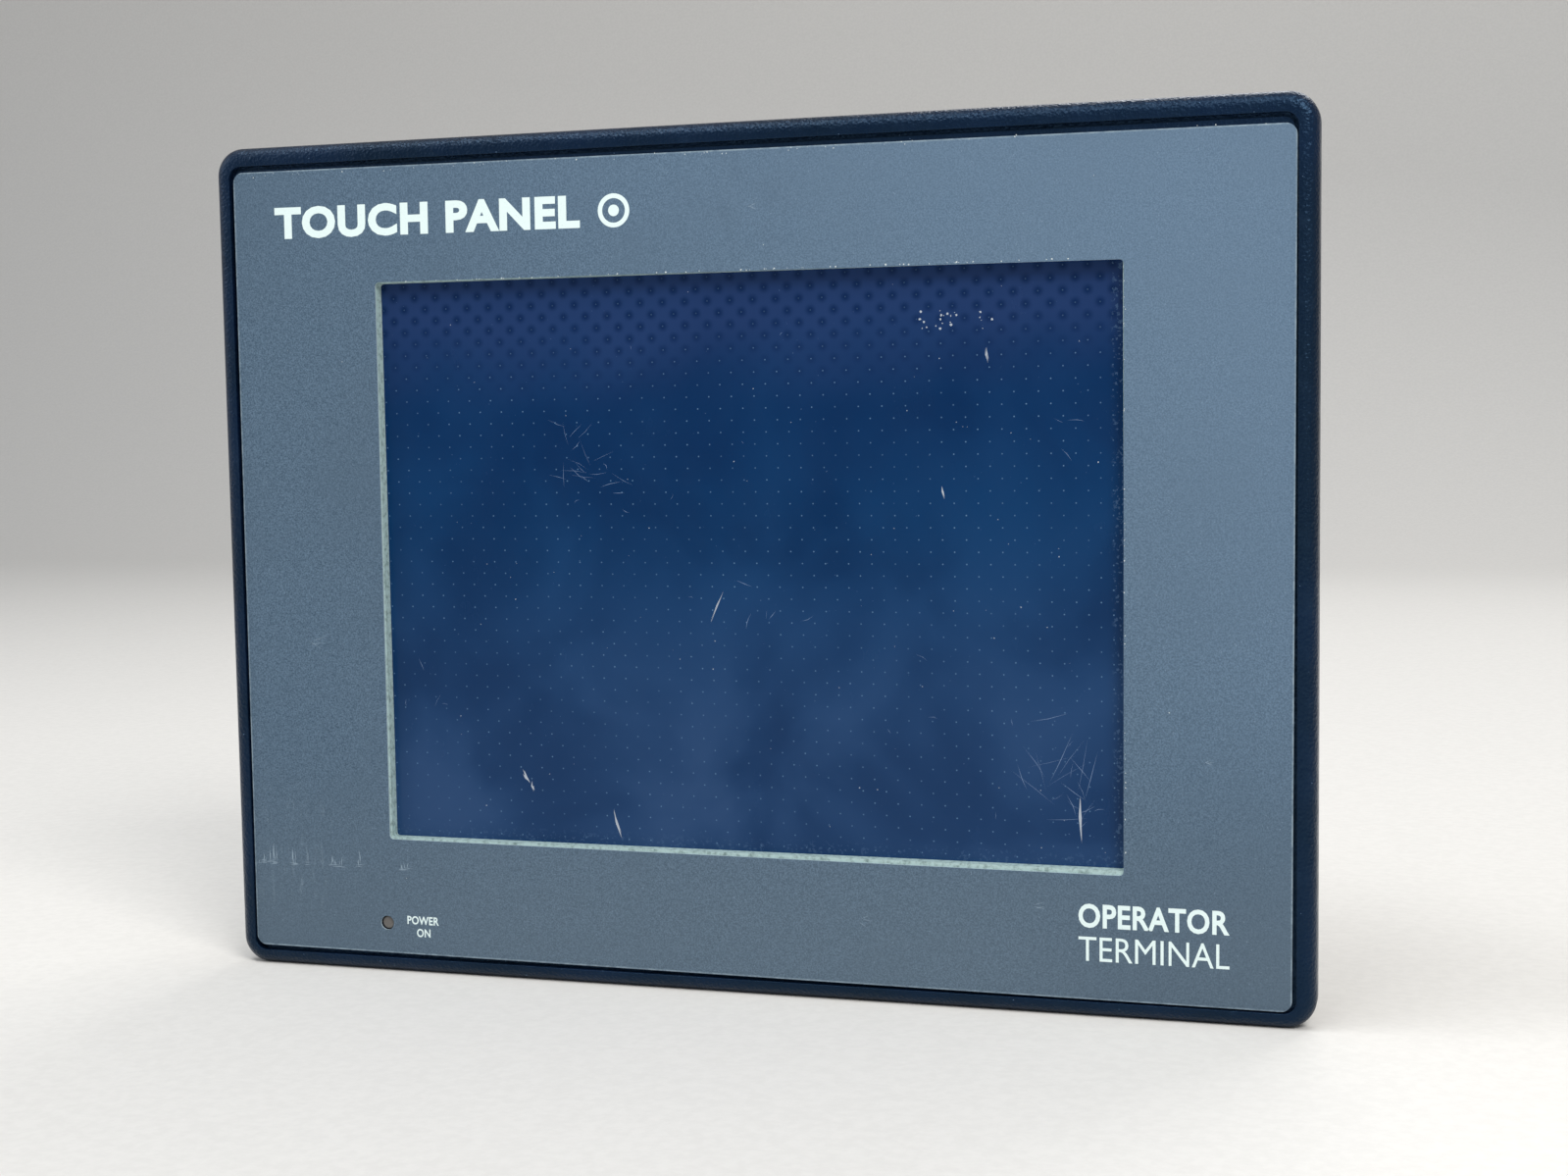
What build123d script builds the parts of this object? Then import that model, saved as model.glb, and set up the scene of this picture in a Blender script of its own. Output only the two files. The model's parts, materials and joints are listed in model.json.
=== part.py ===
from build123d import *
import os

# Touch-screen operator panel that clamps into a 301.5 x 227.5 mm hole in a cabinet door.
# Millimetres. X runs to the right as the operator sees it, Z is up, and the front faces -Y.
# The origin is the centre of the flange's seat plane: Y = 0 is the front skin of the door.

# Front bezel
BEZEL_W = 317.0
BEZEL_H = 243.0
BEZEL_T = 9.0
BEZEL_CORNER_R = 8.0
BEZEL_NOSE_R = 4.0
BEZEL_BACK_R = 0.6
POCKET_W = 306.8
POCKET_H = 233.1
POCKET_CENTRE = (0.0, -0.65)
POCKET_R = 3.6
POCKET_DEPTH = 1.3
POCKET_EDGE_R = 0.25
GROOVE_W = 1.1
GROOVE_DEPTH = 2.2
SKIN_T = 2.5

# Printed front overlay, laid a fraction of a degree out of square
OVERLAY_W = 305.4
OVERLAY_H = 230.0
OVERLAY_R = 3.0
OVERLAY_T = 0.5
OVERLAY_CENTRE = (-0.05, -1.3)
OVERLAY_TURN = -0.2

# Display window, 4:3 for a 10.4 inch screen
WINDOW_W = 216.2
WINDOW_H = 162.9
WINDOW_R = 1.2
WINDOW_CENTRE = (0.5, -0.8)
SEAL_LEDGE_SIDE = 0.3
SEAL_LEDGE_BOTTOM = 0.9
SEAL_WALL = 1.6
TOUCH_W = 230.0
TOUCH_H = 176.0
TOUCH_FRONT = -4.4
FILM_T = 0.2
TOUCH_GLASS_T = 1.8

# Status light
STATUS_AT = (-109.5, -107.0)
STATUS_R = 2.0
STATUS_RECESS = 0.7

# Display module
LCD_W = 243.0
LCD_H = 185.0
LCD_WALL = 1.0
LCD_FRONT = -2.2
LAMP_R = 1.3
LAMP_L = 214.0

# Chassis plate and boards
PLATE_W = 286.0
PLATE_H = 214.0
PLATE_Y = 9.0
PLATE_T = 1.2
BOARD_Y = 16.0
BOARD_T = 1.6
MAIN_BOARD = (-70.0, 125.0, -106.0, 80.0)
POWER_BOARD = (-130.0, -78.0, -106.0, 80.0)

# Rear housing, which passes through the hole in the door
HOUSING_W = 300.0
HOUSING_H = 226.0
HOUSING_D = 47.2
HOUSING_FRONT = -1.5
HOUSING_R = 4.0
HOUSING_EDGE_R = 2.0
NOTCH_EDGE_R = 1.2
PANEL_RECESS = 0.6
LABEL_RECESS = 0.4
WALL = 2.5
NOTCH_Y = 27.0
NOTCH_TOP = -75.0
VENT_W = 3.0
VENT_PITCH = 7.0
VENT_L = 38.0
VENT_COUNT = 12
VENT_X0 = -118.0
VENT_ROWS = (-36.0, 66.0)
SIDE_VENT_COUNT = 12
SIDE_VENT_Z0 = -30.0
LABEL_SIZE = (62.0, 36.0)
LABEL_AT = (60.0, -40.0)

# Ports in the rear notch
PORT_Z = -94.0
COMM_X = 42.0
PRINTER_X = -28.0
TOOL_X = 100.0
POWER_X = -110.0
SHELL_DEPTH = 6.0
SHELL_T = 0.5
DSUB_TALL = 8.0
DSUB_SLANT = 1.4
DSUB_PIN_PITCH = 2.76
DSUB_ROW_GAP = 2.84
JACK_HOLE_R = 1.25

# Power terminals
TERMINAL_PITCH = 9.5
TERMINAL_COUNT = 3
BARRIER_T = 1.5
TERMINAL_TOP = -86.0
TERMINAL_BOTTOM = -104.0
BARRIER_END_Y = 39.0
EAR_T = 3.0
COVER_AXIS_Y = 41.0
COVER_AXIS_Z = -86.0
COVER_BARREL_R = 1.8
TRUNNION_R = 1.0
RUNNING = 0.05

# Service bay behind a hinged door
BAY_CENTRE = (60.0, 30.0)
BAY_W = 62.0
BAY_H = 42.0
BAY_WALL = 1.5
BAY_FLOOR_Y = 22.0
DOOR_W = 69.2
DOOR_H = 49.2
DOOR_T = 1.6
DOOR_GAP = 0.4
DOOR_BARREL_R = 1.6
DOOR_AXIS_Y = 47.4
DOOR_PIN_R = 0.6
KNUCKLE_L = 8.0

# Small controls in the service bay
DIP_AT = (42.0, 42.0)
DIP_PITCH = 2.54
DIP_COUNT = 4
DIP_TOP_Y = 26.0
DIP_KNOB_W = 1.3
DIP_KNOB_H = 1.8
DIP_TRAVEL = 2.0
DIP_SLOT_CLEAR = 0.1
RESET_AT = (80.0, 42.0)
RESET_R = 2.5
EXPANSION_AT = (60.0, 18.0)

# Panel clamps, two above and two below the housing
CLAMP_X = 75.0
CLAMP_Y = (12.0, 22.0)
CLAMP_W = 16.0
CLAMP_SCREW_Z = 117.3
CLAMP_SCREW_R = 2.0
CLAMP_SCREW_Y = (8.2, 38.0)
CLAMP_HEAD_R = 3.5
CLAMP_HEAD_L = 3.6
FOOT_R = 3.6
FOOT_Y = (6.0, 9.0)
FOOT_SOCKET_R = 1.6
FOOT_SOCKET_DEPTH = 1.6

# Fasteners
M3_R = 1.5
M3_HEAD_R = 2.8
M3_HEAD_L = 1.8
BOSS_R = 4.0
BOSS_HOLE_R = 1.25

FRONT_Y = -BEZEL_T
POCKET_Y = FRONT_Y + POCKET_DEPTH
SKIN_BACK = POCKET_Y + SKIN_T
PLATE_BACK = PLATE_Y + PLATE_T
BOARD_BACK = BOARD_Y + BOARD_T
INNER_W = HOUSING_W - 2 * WALL
INNER_H = HOUSING_H - 2 * WALL
INNER_BACK = HOUSING_D - WALL
NOTCH_WALL_Y = NOTCH_Y - WALL
CLAMP_SPOTS = [(x, side) for side in (1, -1) for x in (-CLAMP_X, CLAMP_X)]
CHASSIS_POINTS = [(x, z) for x in (-134, 134) for z in (-102, 0, 102)] + [(0, -102), (0, 102)]
COVER_POINTS = [(-138, 84), (138, 84), (-138, -60), (138, -60), (0, 88), (0, -60)]
MAIN_STANDOFFS = [(-64, 74), (119, 74), (-64, -100), (119, -100), (-64, -14), (119, -14)]
POWER_STANDOFFS = [(-124, 74), (-84, 74), (-124, -60), (-84, -60)]
INVERTER_STANDOFFS = [(-60, 92), (-115, 92)]


# Helpers

def facing(y):
    """A plane across the depth, with local x to the right and local y up."""
    return Plane(origin=(0, y, 0), x_dir=(1, 0, 0), z_dir=(0, -1, 0))


def slab(sketch, y0, y1):
    """A sketch drawn in X and Z, made solid from depth y0 to y1."""
    return extrude(facing(y1) * sketch, amount=y1 - y0)


def rect(width, height, radius=0.0, at=(0, 0)):
    """A rectangle in X and Z, rounded where a radius is given."""
    shape = RectangleRounded(width, height, radius) if radius else Rectangle(width, height)
    return Pos(at[0], at[1]) * shape


def disc(radius, at):
    """A circle in X and Z."""
    return Pos(at[0], at[1]) * Circle(radius)


def block(x0, x1, y0, y1, z0, z1):
    """A box between two corners."""
    centre = ((x0 + x1) / 2, (y0 + y1) / 2, (z0 + z1) / 2)
    return Pos(*centre) * Box(x1 - x0, y1 - y0, z1 - z0)


def rod_x(radius, x0, x1, y, z):
    """A cylinder along X."""
    return Pos((x0 + x1) / 2, y, z) * Rot(0, 90, 0) * Cylinder(radius, x1 - x0)


def rod_z(radius, x, y, z0, z1):
    """A cylinder along Z."""
    return Pos(x, y, (z0 + z1) / 2) * Cylinder(radius, z1 - z0)


def edges_at(part, y, tolerance=0.01):
    """The edges that lie wholly at one depth."""
    return [e for e in part.edges() if abs(e.bounding_box().min.Y - y) < tolerance
            and abs(e.bounding_box().max.Y - y) < tolerance]


def pan_screw(at, y_seat, length, toward=-1, radius=M3_R, head_r=M3_HEAD_R, head_l=M3_HEAD_L):
    """A pan-head screw with a cross recess; its shank runs from the seat along toward * Y."""
    head_span = sorted((y_seat, y_seat - toward * head_l))
    shank_span = sorted((y_seat, y_seat + toward * length))
    head = slab(disc(head_r, at), *head_span)
    rim = edges_at(head, y_seat - toward * head_l)
    head = fillet(rim, head_l * 0.45)
    cross = rect(head_r * 1.1, head_r * 0.24, at=at) + rect(head_r * 0.24, head_r * 1.1, at=at)
    recess_span = sorted((y_seat - toward * head_l * 0.45, y_seat - toward * (head_l + 1)))
    return head + slab(disc(radius, at), *shank_span) - slab(cross, *recess_span)


def save(name, shapes):
    """Writes one node, as a single solid or as a group of separate ones."""
    shapes = shapes if isinstance(shapes, list) else [shapes]
    solids = [solid for shape in shapes for solid in shape.solids()]
    node = solids[0] if len(solids) == 1 else Compound(solids)
    export_step(node, f"parts/{name}.step")


# Front assembly

def window_outline(grow=0.0, radius=WINDOW_R):
    return rect(WINDOW_W + 2 * grow, WINDOW_H + 2 * grow, radius, WINDOW_CENTRE)


def front_bezel():
    """Moulded frame: rounded nose, pocket for the overlay, flange with a gasket groove, bosses."""
    body = slab(rect(BEZEL_W, BEZEL_H, BEZEL_CORNER_R), FRONT_Y, 0)
    body = fillet(edges_at(body, FRONT_Y), BEZEL_NOSE_R)
    body = fillet(edges_at(body, 0), BEZEL_BACK_R)
    pocket = rect(POCKET_W, POCKET_H, POCKET_R, POCKET_CENTRE)
    plateau = rect(POCKET_W - 2 * GROOVE_W, POCKET_H - 2 * GROOVE_W, POCKET_R - 1, POCKET_CENTRE)
    body -= slab(pocket, FRONT_Y - 1, POCKET_Y)
    body = fillet(pocket_rim(body), POCKET_EDGE_R)
    body -= slab(pocket - plateau, FRONT_Y - 1, FRONT_Y + GROOVE_DEPTH)
    body -= slab(rect(INNER_W, INNER_H, 3.0), SKIN_BACK, 1)
    body -= slab(rect(HOUSING_W + 0.2, HOUSING_H + 0.2, HOUSING_R), HOUSING_FRONT, 1)
    body -= slab(window_outline(SEAL_WALL + 0.1, 2.4), POCKET_Y - 1, SKIN_BACK + 1)
    body -= slab(disc(STATUS_R + 0.1, STATUS_AT), POCKET_Y - 1, SKIN_BACK + 1)
    body -= gasket_ring(0.0, 1.0)
    for at in CHASSIS_POINTS:
        body += slab(disc(BOSS_R, at), SKIN_BACK - 0.5, PLATE_Y)
        body -= slab(disc(BOSS_HOLE_R, at), PLATE_Y - 10, PLATE_Y + 1)
    return body


def pocket_rim(body):
    """The edges at the front face that run round the pocket's mouth."""
    reach_x = POCKET_W / 2 + 0.05
    reach_z = POCKET_H / 2 + 0.05
    return [e for e in edges_at(body, FRONT_Y) if abs(e.center().X) < reach_x
            and abs(e.center().Z - POCKET_CENTRE[1]) < reach_z]


def gasket_ring(shrink, extra=0.0):
    """The square-section ring that fills the flange's groove, flush with the seat."""
    outer = rect(HOUSING_W + 12 - 2 * shrink, HOUSING_H + 12 - 2 * shrink, 6.0)
    inner = rect(HOUSING_W + 5 + 2 * shrink, HOUSING_H + 5 + 2 * shrink, 3.0)
    return slab(outer - inner, -2.0, extra)


def front_overlay():
    """Printed polyester sheet with a cut-out for the screen and one for the status light."""
    turn = Rot(0, 0, OVERLAY_TURN)
    outline = Pos(*OVERLAY_CENTRE) * turn * RectangleRounded(OVERLAY_W, OVERLAY_H, OVERLAY_R)
    window = Pos(*WINDOW_CENTRE) * turn * RectangleRounded(WINDOW_W, WINDOW_H, WINDOW_R)
    return slab(outline - window - disc(STATUS_R + 0.1, STATUS_AT), POCKET_Y - OVERLAY_T, POCKET_Y)


def window_seal():
    """Pale moulded frame between the overlay and the touch film, with a flange behind the skin."""
    opening_w = WINDOW_W - SEAL_LEDGE_SIDE
    opening_h = WINDOW_H - SEAL_LEDGE_BOTTOM
    centre = (WINDOW_CENTRE[0] + SEAL_LEDGE_SIDE / 2, WINDOW_CENTRE[1] + SEAL_LEDGE_BOTTOM / 2)
    opening = rect(opening_w, opening_h, 1.0, centre)
    collar = slab(window_outline(SEAL_WALL, 2.3) - opening, POCKET_Y, TOUCH_FRONT)
    flange = slab(window_outline(SEAL_WALL + 4, 3.0) - opening, SKIN_BACK, TOUCH_FRONT)
    return collar + flange


def touch_film():
    return slab(rect(TOUCH_W, TOUCH_H, 1.5, WINDOW_CENTRE), TOUCH_FRONT, TOUCH_FRONT + FILM_T)


def touch_glass():
    back = TOUCH_FRONT + FILM_T + TOUCH_GLASS_T
    return slab(rect(TOUCH_W, TOUCH_H, 1.5, WINDOW_CENTRE), TOUCH_FRONT + FILM_T, back)


def touch_tail():
    """Flat lead from the lower edge of the touch glass, back through the plate to the main board."""
    glass_bottom = WINDOW_CENTRE[1] - TOUCH_H / 2
    run_z = glass_bottom - 7.0
    thickness = 0.3
    front = TOUCH_FRONT + FILM_T
    drop = block(40, 60, front, front + thickness, run_z, glass_bottom)
    run = block(40, 60, front, BOARD_Y, run_z, run_z + thickness)
    return drop + run


def status_light_pipe():
    """Clear peg that carries the status light from the board side to just behind the overlay's face."""
    tip_y = POCKET_Y - OVERLAY_T + STATUS_RECESS
    peg = slab(disc(STATUS_R, STATUS_AT), tip_y, PLATE_Y - 0.3)
    peg = fillet(edges_at(peg, tip_y), 0.5)
    return peg + slab(disc(STATUS_R + 0.9, STATUS_AT), SKIN_BACK, SKIN_BACK + 1.0)


# Display module

def lcd_outline(shrink=0.0, radius=1.0):
    return rect(LCD_W - 2 * shrink, LCD_H - 2 * shrink, radius, WINDOW_CENTRE)


def lcd_frame():
    """Pressed steel surround that holds the display stack against the chassis plate."""
    body = slab(lcd_outline(), LCD_FRONT, PLATE_Y)
    body -= slab(lcd_outline(LCD_WALL, 0.5), LCD_FRONT + LCD_WALL, PLATE_Y + 1)
    return body - slab(window_outline(0.6, 0.5), LCD_FRONT - 1, LCD_FRONT + LCD_WALL + 1)


def lcd_cell():
    return slab(lcd_outline(3.0), LCD_FRONT + LCD_WALL, LCD_FRONT + LCD_WALL + 2.2)


def lcd_light_guide():
    """Wedge-free acrylic sheet, short enough to leave room for a lamp above and below it."""
    return slab(rect(LCD_W - 12, LCD_H - 20, 0.5, WINDOW_CENTRE), 1.4, 6.4)


def lcd_back_plate():
    return slab(lcd_outline(LCD_WALL + 0.2, 0.5), PLATE_Y - 1.0, PLATE_Y)


def backlight_lamps():
    """Two thin fluorescent tubes, one along each long edge of the light guide."""
    offset = LCD_H / 2 - 6
    x0 = WINDOW_CENTRE[0] - LAMP_L / 2
    return [rod_x(LAMP_R, x0, x0 + LAMP_L, 4.0, WINDOW_CENTRE[1] + side * offset) for side in (1, -1)]


# Chassis and boards

def chassis_plate():
    """Flat steel plate on the bezel's bosses, with openings for the leads and the light pipe."""
    plate = slab(rect(PLATE_W, PLATE_H, 3.0), PLATE_Y, PLATE_BACK)
    cutters = [disc(M3_R + 0.15, at) for at in CHASSIS_POINTS]
    cutters.append(rect(26, 6, 1.0, (50, WINDOW_CENTRE[1] - TOUCH_H / 2 - 6.8)))
    cutters.append(rect(40, 16, 2.0, (-30, -40)))
    cutters.append(disc(STATUS_R + 1.0, STATUS_AT))
    for cutter in cutters:
        plate -= slab(cutter, PLATE_Y - 1, PLATE_BACK + 1)
    return plate


def inner_screws():
    """The plate's screws into the bosses and the boards' screws into their standoffs."""
    plate_screws = [pan_screw(at, PLATE_BACK, 7.0, radius=BOSS_HOLE_R) for at in CHASSIS_POINTS]
    board_points = MAIN_STANDOFFS + POWER_STANDOFFS + INVERTER_STANDOFFS
    board_screws = [pan_screw(at, BOARD_BACK, 4.0, radius=BOSS_HOLE_R) for at in board_points]
    return plate_screws + board_screws


def cover_standoffs():
    """Hexagonal posts from the chassis plate to the housing's back wall."""
    posts = []
    for at in COVER_POINTS:
        hexagon = Pos(*at) * RegularPolygon(3.4, 6)
        bore = slab(disc(BOSS_HOLE_R, at), INNER_BACK - 8, INNER_BACK + 1)
        posts.append(slab(hexagon, PLATE_BACK, INNER_BACK) - bore)
    return posts


def board_standoffs():
    points = MAIN_STANDOFFS + POWER_STANDOFFS + INVERTER_STANDOFFS
    return [slab(disc(3.0, at) - disc(BOSS_HOLE_R, at), PLATE_BACK, BOARD_Y) for at in points]


def board(limits, points, holes=()):
    """A circuit board between x0, x1, z0 and z1, with its screw holes."""
    x0, x1, z0, z1 = limits
    body = slab(rect(x1 - x0, z1 - z0, 2.0, ((x0 + x1) / 2, (z0 + z1) / 2)), BOARD_Y, BOARD_BACK)
    for at in points:
        body -= slab(disc(M3_R + 0.15, at), BOARD_Y - 1, BOARD_BACK + 1)
    for radius, at in holes:
        body -= slab(disc(radius, at), BOARD_Y - 1, BOARD_BACK + 1)
    return body


def processor_chip():
    return slab(rect(30, 30, 0.8, (-32, 34)), BOARD_BACK, BOARD_BACK + 3.0)


def processor_heatsink():
    """Extruded aluminium base with upright fins."""
    base_y = BOARD_BACK + 3.0
    sink = slab(rect(36, 36, 0.5, (-32, 34)), base_y, base_y + 2.0)
    for index in range(8):
        x = -32 - 17.2 + index * 4.8
        sink += block(x, x + 1.2, base_y + 2.0, base_y + 12.0, 16, 52)
    return sink


def memory_chips():
    return [slab(rect(18, 8, 0.4, (-32, z)), BOARD_BACK, BOARD_BACK + 1.4) for z in (4, -8, -20, -32)]


def backup_battery():
    """Coin cell in its holder."""
    at = (104, -34)
    holder = slab(rect(26, 24, 2.0, at), BOARD_BACK, BOARD_BACK + 2.4)
    cell = slab(disc(10, at), BOARD_BACK + 2.4, BOARD_BACK + 5.4)
    return holder + fillet(edges_at(cell, BOARD_BACK + 5.4), 0.6)


def power_transformer():
    """Ferrite core over a wound bobbin."""
    at = (-104, 44)
    core = slab(rect(30, 26, 1.0, at), BOARD_BACK + 2, BOARD_BACK + 20)
    bobbin = slab(rect(22, 32, 2.0, at), BOARD_BACK, BOARD_BACK + 18)
    return core + bobbin


def power_capacitors():
    """Upright electrolytic cans."""
    cans = []
    for at, radius, height in (((-118, 8), 6.0, 20.0), ((-102, 8), 6.0, 20.0), ((-88, 8), 5.0, 16.0),
                               ((-116, -16), 5.0, 16.0), ((-98, -16), 4.0, 12.0)):
        can = slab(disc(radius, at), BOARD_BACK, BOARD_BACK + height)
        cans.append(fillet(edges_at(can, BOARD_BACK + height), 0.8))
    return cans


def inverter_transformer():
    return slab(rect(24, 9, 1.0, (-88, 92)), BOARD_BACK, BOARD_BACK + 8.0)


def lcd_ribbon():
    """Folded flat cable from the display's back, through the plate, to the main board."""
    z = -40.0
    rise = block(-44, -16, PLATE_Y, PLATE_BACK + 2.4, z, z + 0.5)
    across = block(-44, -16, PLATE_BACK + 2.0, PLATE_BACK + 2.5, z, z + 16)
    finish = block(-44, -16, PLATE_BACK + 2.0, BOARD_Y, z + 16, z + 16.5)
    return rise + across + finish


# Rear housing

def vent_cutters():
    """Slots through the top, the bottom and the back of the housing."""
    cutters = []
    for index in range(-15, 16):
        x = index * VENT_PITCH
        if abs(abs(x) - CLAMP_X) < CLAMP_W / 2 + VENT_W:
            continue
        top = HOUSING_H / 2
        cutters.append(block(x - VENT_W / 2, x + VENT_W / 2, 14, 38, top - WALL - 1, top + 1))
        cutters.append(block(x - VENT_W / 2, x + VENT_W / 2, 8, 21, -top - 1, -top + WALL + 1))
    for index in range(VENT_COUNT):
        x = VENT_X0 + index * VENT_PITCH
        for z in VENT_ROWS:
            slot = SlotOverall(VENT_L, VENT_W)
            cutters.append(slab(Pos(x, z) * Rot(0, 0, 90) * slot, INNER_BACK - 1, HOUSING_D + 1))
    for index in range(SIDE_VENT_COUNT):
        z = SIDE_VENT_Z0 + index * VENT_PITCH
        for side in (-1, 1):
            x0, x1 = sorted((side * (INNER_W / 2 - 1), side * (HOUSING_W / 2 + 1)))
            cutters.append(block(x0, x1, 16, 38, z - VENT_W / 2, z + VENT_W / 2))
    return cutters


def port_cutters():
    """Openings in the notch wall for the connectors and the power terminals."""
    span = (NOTCH_WALL_Y - 1, NOTCH_Y + 1)
    block_w = terminal_width() + 0.6
    middle = (TERMINAL_TOP + TERMINAL_BOTTOM) / 2
    return [
        slab(dsub_profile(COMM_X, 25, 0.3), *span),
        slab(dsub_profile(PRINTER_X, 9, 0.3), *span),
        slab(disc(6.3, (TOOL_X, PORT_Z)), *span),
        slab(rect(block_w, TERMINAL_TOP - TERMINAL_BOTTOM + 0.6, 0.5, (POWER_X, middle)), *span),
    ]


def jack_points():
    return [(x + side * dsub_span(pins) / 2, PORT_Z) for x, pins in ((COMM_X, 25), (PRINTER_X, 9))
            for side in (-1, 1)]


def notch_edges(body):
    """The notch's two long outer edges and its inner corner, all along X."""
    edges = body.edges().filter_by(Axis.X)
    return [e for e in edges if e.center().Y > NOTCH_Y - 0.1 and e.center().Z < NOTCH_TOP + 0.1]


def back_recesses():
    """Shallow seats in the back wall for each vent group, the label and each screw's head."""
    depth = (HOUSING_D - PANEL_RECESS, HOUSING_D + 1)
    middle_x = VENT_X0 + (VENT_COUNT - 1) * VENT_PITCH / 2
    width = VENT_COUNT * VENT_PITCH + 5
    panels = [slab(rect(width, VENT_L + 8, 3.0, (middle_x, z)), *depth) for z in VENT_ROWS]
    panels += [slab(disc(M3_HEAD_R + 1.4, at), *depth) for at in COVER_POINTS]
    label_w, label_h = LABEL_SIZE
    seat = rect(label_w + 1, label_h + 1, 2.4, LABEL_AT)
    return panels + [slab(seat, HOUSING_D - LABEL_RECESS, HOUSING_D + 1)]


def rear_housing():
    """Moulded shell with a stepped notch for the ports, vents, clamp slots and the service opening."""
    half_w = HOUSING_W / 2
    half_h = HOUSING_H / 2
    body = slab(rect(HOUSING_W, HOUSING_H, HOUSING_R), HOUSING_FRONT, HOUSING_D)
    body = fillet(edges_at(body, HOUSING_D), HOUSING_EDGE_R)
    body -= block(-half_w - 1, half_w + 1, NOTCH_Y, HOUSING_D + 1, -half_h - 1, NOTCH_TOP)
    body = fillet(notch_edges(body), NOTCH_EDGE_R)
    inner_x = INNER_W / 2
    inner_z = INNER_H / 2
    body -= block(-inner_x, inner_x, HOUSING_FRONT - 1, INNER_BACK, NOTCH_TOP + WALL, inner_z)
    body -= block(-inner_x, inner_x, HOUSING_FRONT - 1, NOTCH_WALL_Y, -inner_z, NOTCH_TOP + WALL)
    body -= back_recesses() + vent_cutters() + port_cutters()
    body -= [slab(disc(M3_R + 0.15, at), INNER_BACK - 1, HOUSING_D + 1) for at in COVER_POINTS]
    body -= [slab(disc(JACK_HOLE_R + 0.2, at), NOTCH_WALL_Y - 1, NOTCH_Y + 1) for at in jack_points()]
    for x, side in CLAMP_SPOTS:
        z = sorted((side * (inner_z - 1), side * (half_h + 1)))
        body -= block(x - 5.8, x + 5.8, CLAMP_Y[0] + 0.7, CLAMP_Y[1] + 1.3, *z)
    body -= door_recess()
    return body + door_knuckles()


def door_axis_x():
    return BAY_CENTRE[0] - DOOR_W / 2 - 0.9


def door_recess():
    """Shallow seat for the service door, a trough for its barrel and the way into the bay."""
    x, z = BAY_CENTRE
    trough_r = DOOR_BARREL_R + 0.3
    axis_x = door_axis_x()
    half = DOOR_H / 2 + DOOR_GAP
    return [
        block(axis_x, x + DOOR_W / 2 + DOOR_GAP, HOUSING_D - DOOR_T - 0.1, HOUSING_D + 3, z - half, z + half),
        slab(rect(BAY_W + 0.4, BAY_H + 0.4, 2.0, BAY_CENTRE), INNER_BACK - 1, HOUSING_D + 1),
        rod_z(trough_r, axis_x, DOOR_AXIS_Y, z - half, z + half),
    ]


def door_knuckles():
    """The housing's two knuckles, which hold the ends of the hinge pin."""
    x = door_axis_x()
    z = BAY_CENTRE[1]
    reach = DOOR_H / 2 + DOOR_GAP
    knuckles = []
    for side in (-1, 1):
        span = sorted((z + side * reach, z + side * (reach - KNUCKLE_L)))
        barrel = rod_z(DOOR_BARREL_R, x, DOOR_AXIS_Y, *span)
        foot = block(x - DOOR_BARREL_R, x, INNER_BACK, DOOR_AXIS_Y, *span)
        knuckles.append(barrel + foot - rod_z(DOOR_PIN_R, x, DOOR_AXIS_Y, span[0] - 1, span[1] + 1))
    return knuckles


def housing_screws():
    seat = HOUSING_D - PANEL_RECESS
    head_l = M3_HEAD_L + PANEL_RECESS
    return [pan_screw(at, seat, 8.0, radius=BOSS_HOLE_R, head_l=head_l) for at in COVER_POINTS]


def rating_label():
    """Blank plate for the ratings, laid on the back wall."""
    return slab(rect(*LABEL_SIZE, 2.0, LABEL_AT), HOUSING_D - LABEL_RECESS, HOUSING_D - 0.1)


# Ports

def dsub_span(pins):
    """Distance between the two jack screws of a two-row D connector."""
    return 47.04 if pins == 25 else 24.99


def dsub_profile(x, pins, grow=0.0):
    """The D-shaped outline of a two-row connector, wider at its top."""
    half_top = dsub_span(pins) / 2 - 4.1 + grow
    half_low = half_top - DSUB_SLANT
    high = DSUB_TALL / 2 + grow
    outline = Polygon((-half_top, high), (-half_low, -high), (half_low, -high), (half_top, high), align=None)
    return Pos(x, PORT_Z) * fillet(outline.vertices(), 1.6)


def dsub_shell(x, pins):
    """Plated steel shell on its mounting flange, which sits behind the notch wall."""
    flange = rect(dsub_span(pins) + 6, 12.0, 1.5, (x, PORT_Z))
    shell = slab(flange, NOTCH_WALL_Y - 1.0, NOTCH_WALL_Y)
    shell += slab(dsub_profile(x, pins), 19, NOTCH_Y + SHELL_DEPTH)
    shell -= slab(dsub_profile(x, pins, -SHELL_T), 18, NOTCH_Y + SHELL_DEPTH + 1)
    for side in (-1, 1):
        shell -= slab(disc(JACK_HOLE_R + 0.2, (x + side * dsub_span(pins) / 2, PORT_Z)), 20, NOTCH_Y)
    return shell


def dsub_insulator(x, pins):
    """Moulded core with two rows of contact holes."""
    face_y = NOTCH_Y + SHELL_DEPTH - 0.4
    core = slab(dsub_profile(x, pins, -SHELL_T), BOARD_BACK, face_y)
    upper = (pins + 1) // 2
    for count, z in ((upper, DSUB_ROW_GAP / 2), (pins - upper, -DSUB_ROW_GAP / 2)):
        start = x - (count - 1) * DSUB_PIN_PITCH / 2
        core -= [slab(disc(0.55, (start + index * DSUB_PIN_PITCH, PORT_Z + z)), face_y - 3, face_y + 1)
                 for index in range(count)]
    return core


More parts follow.
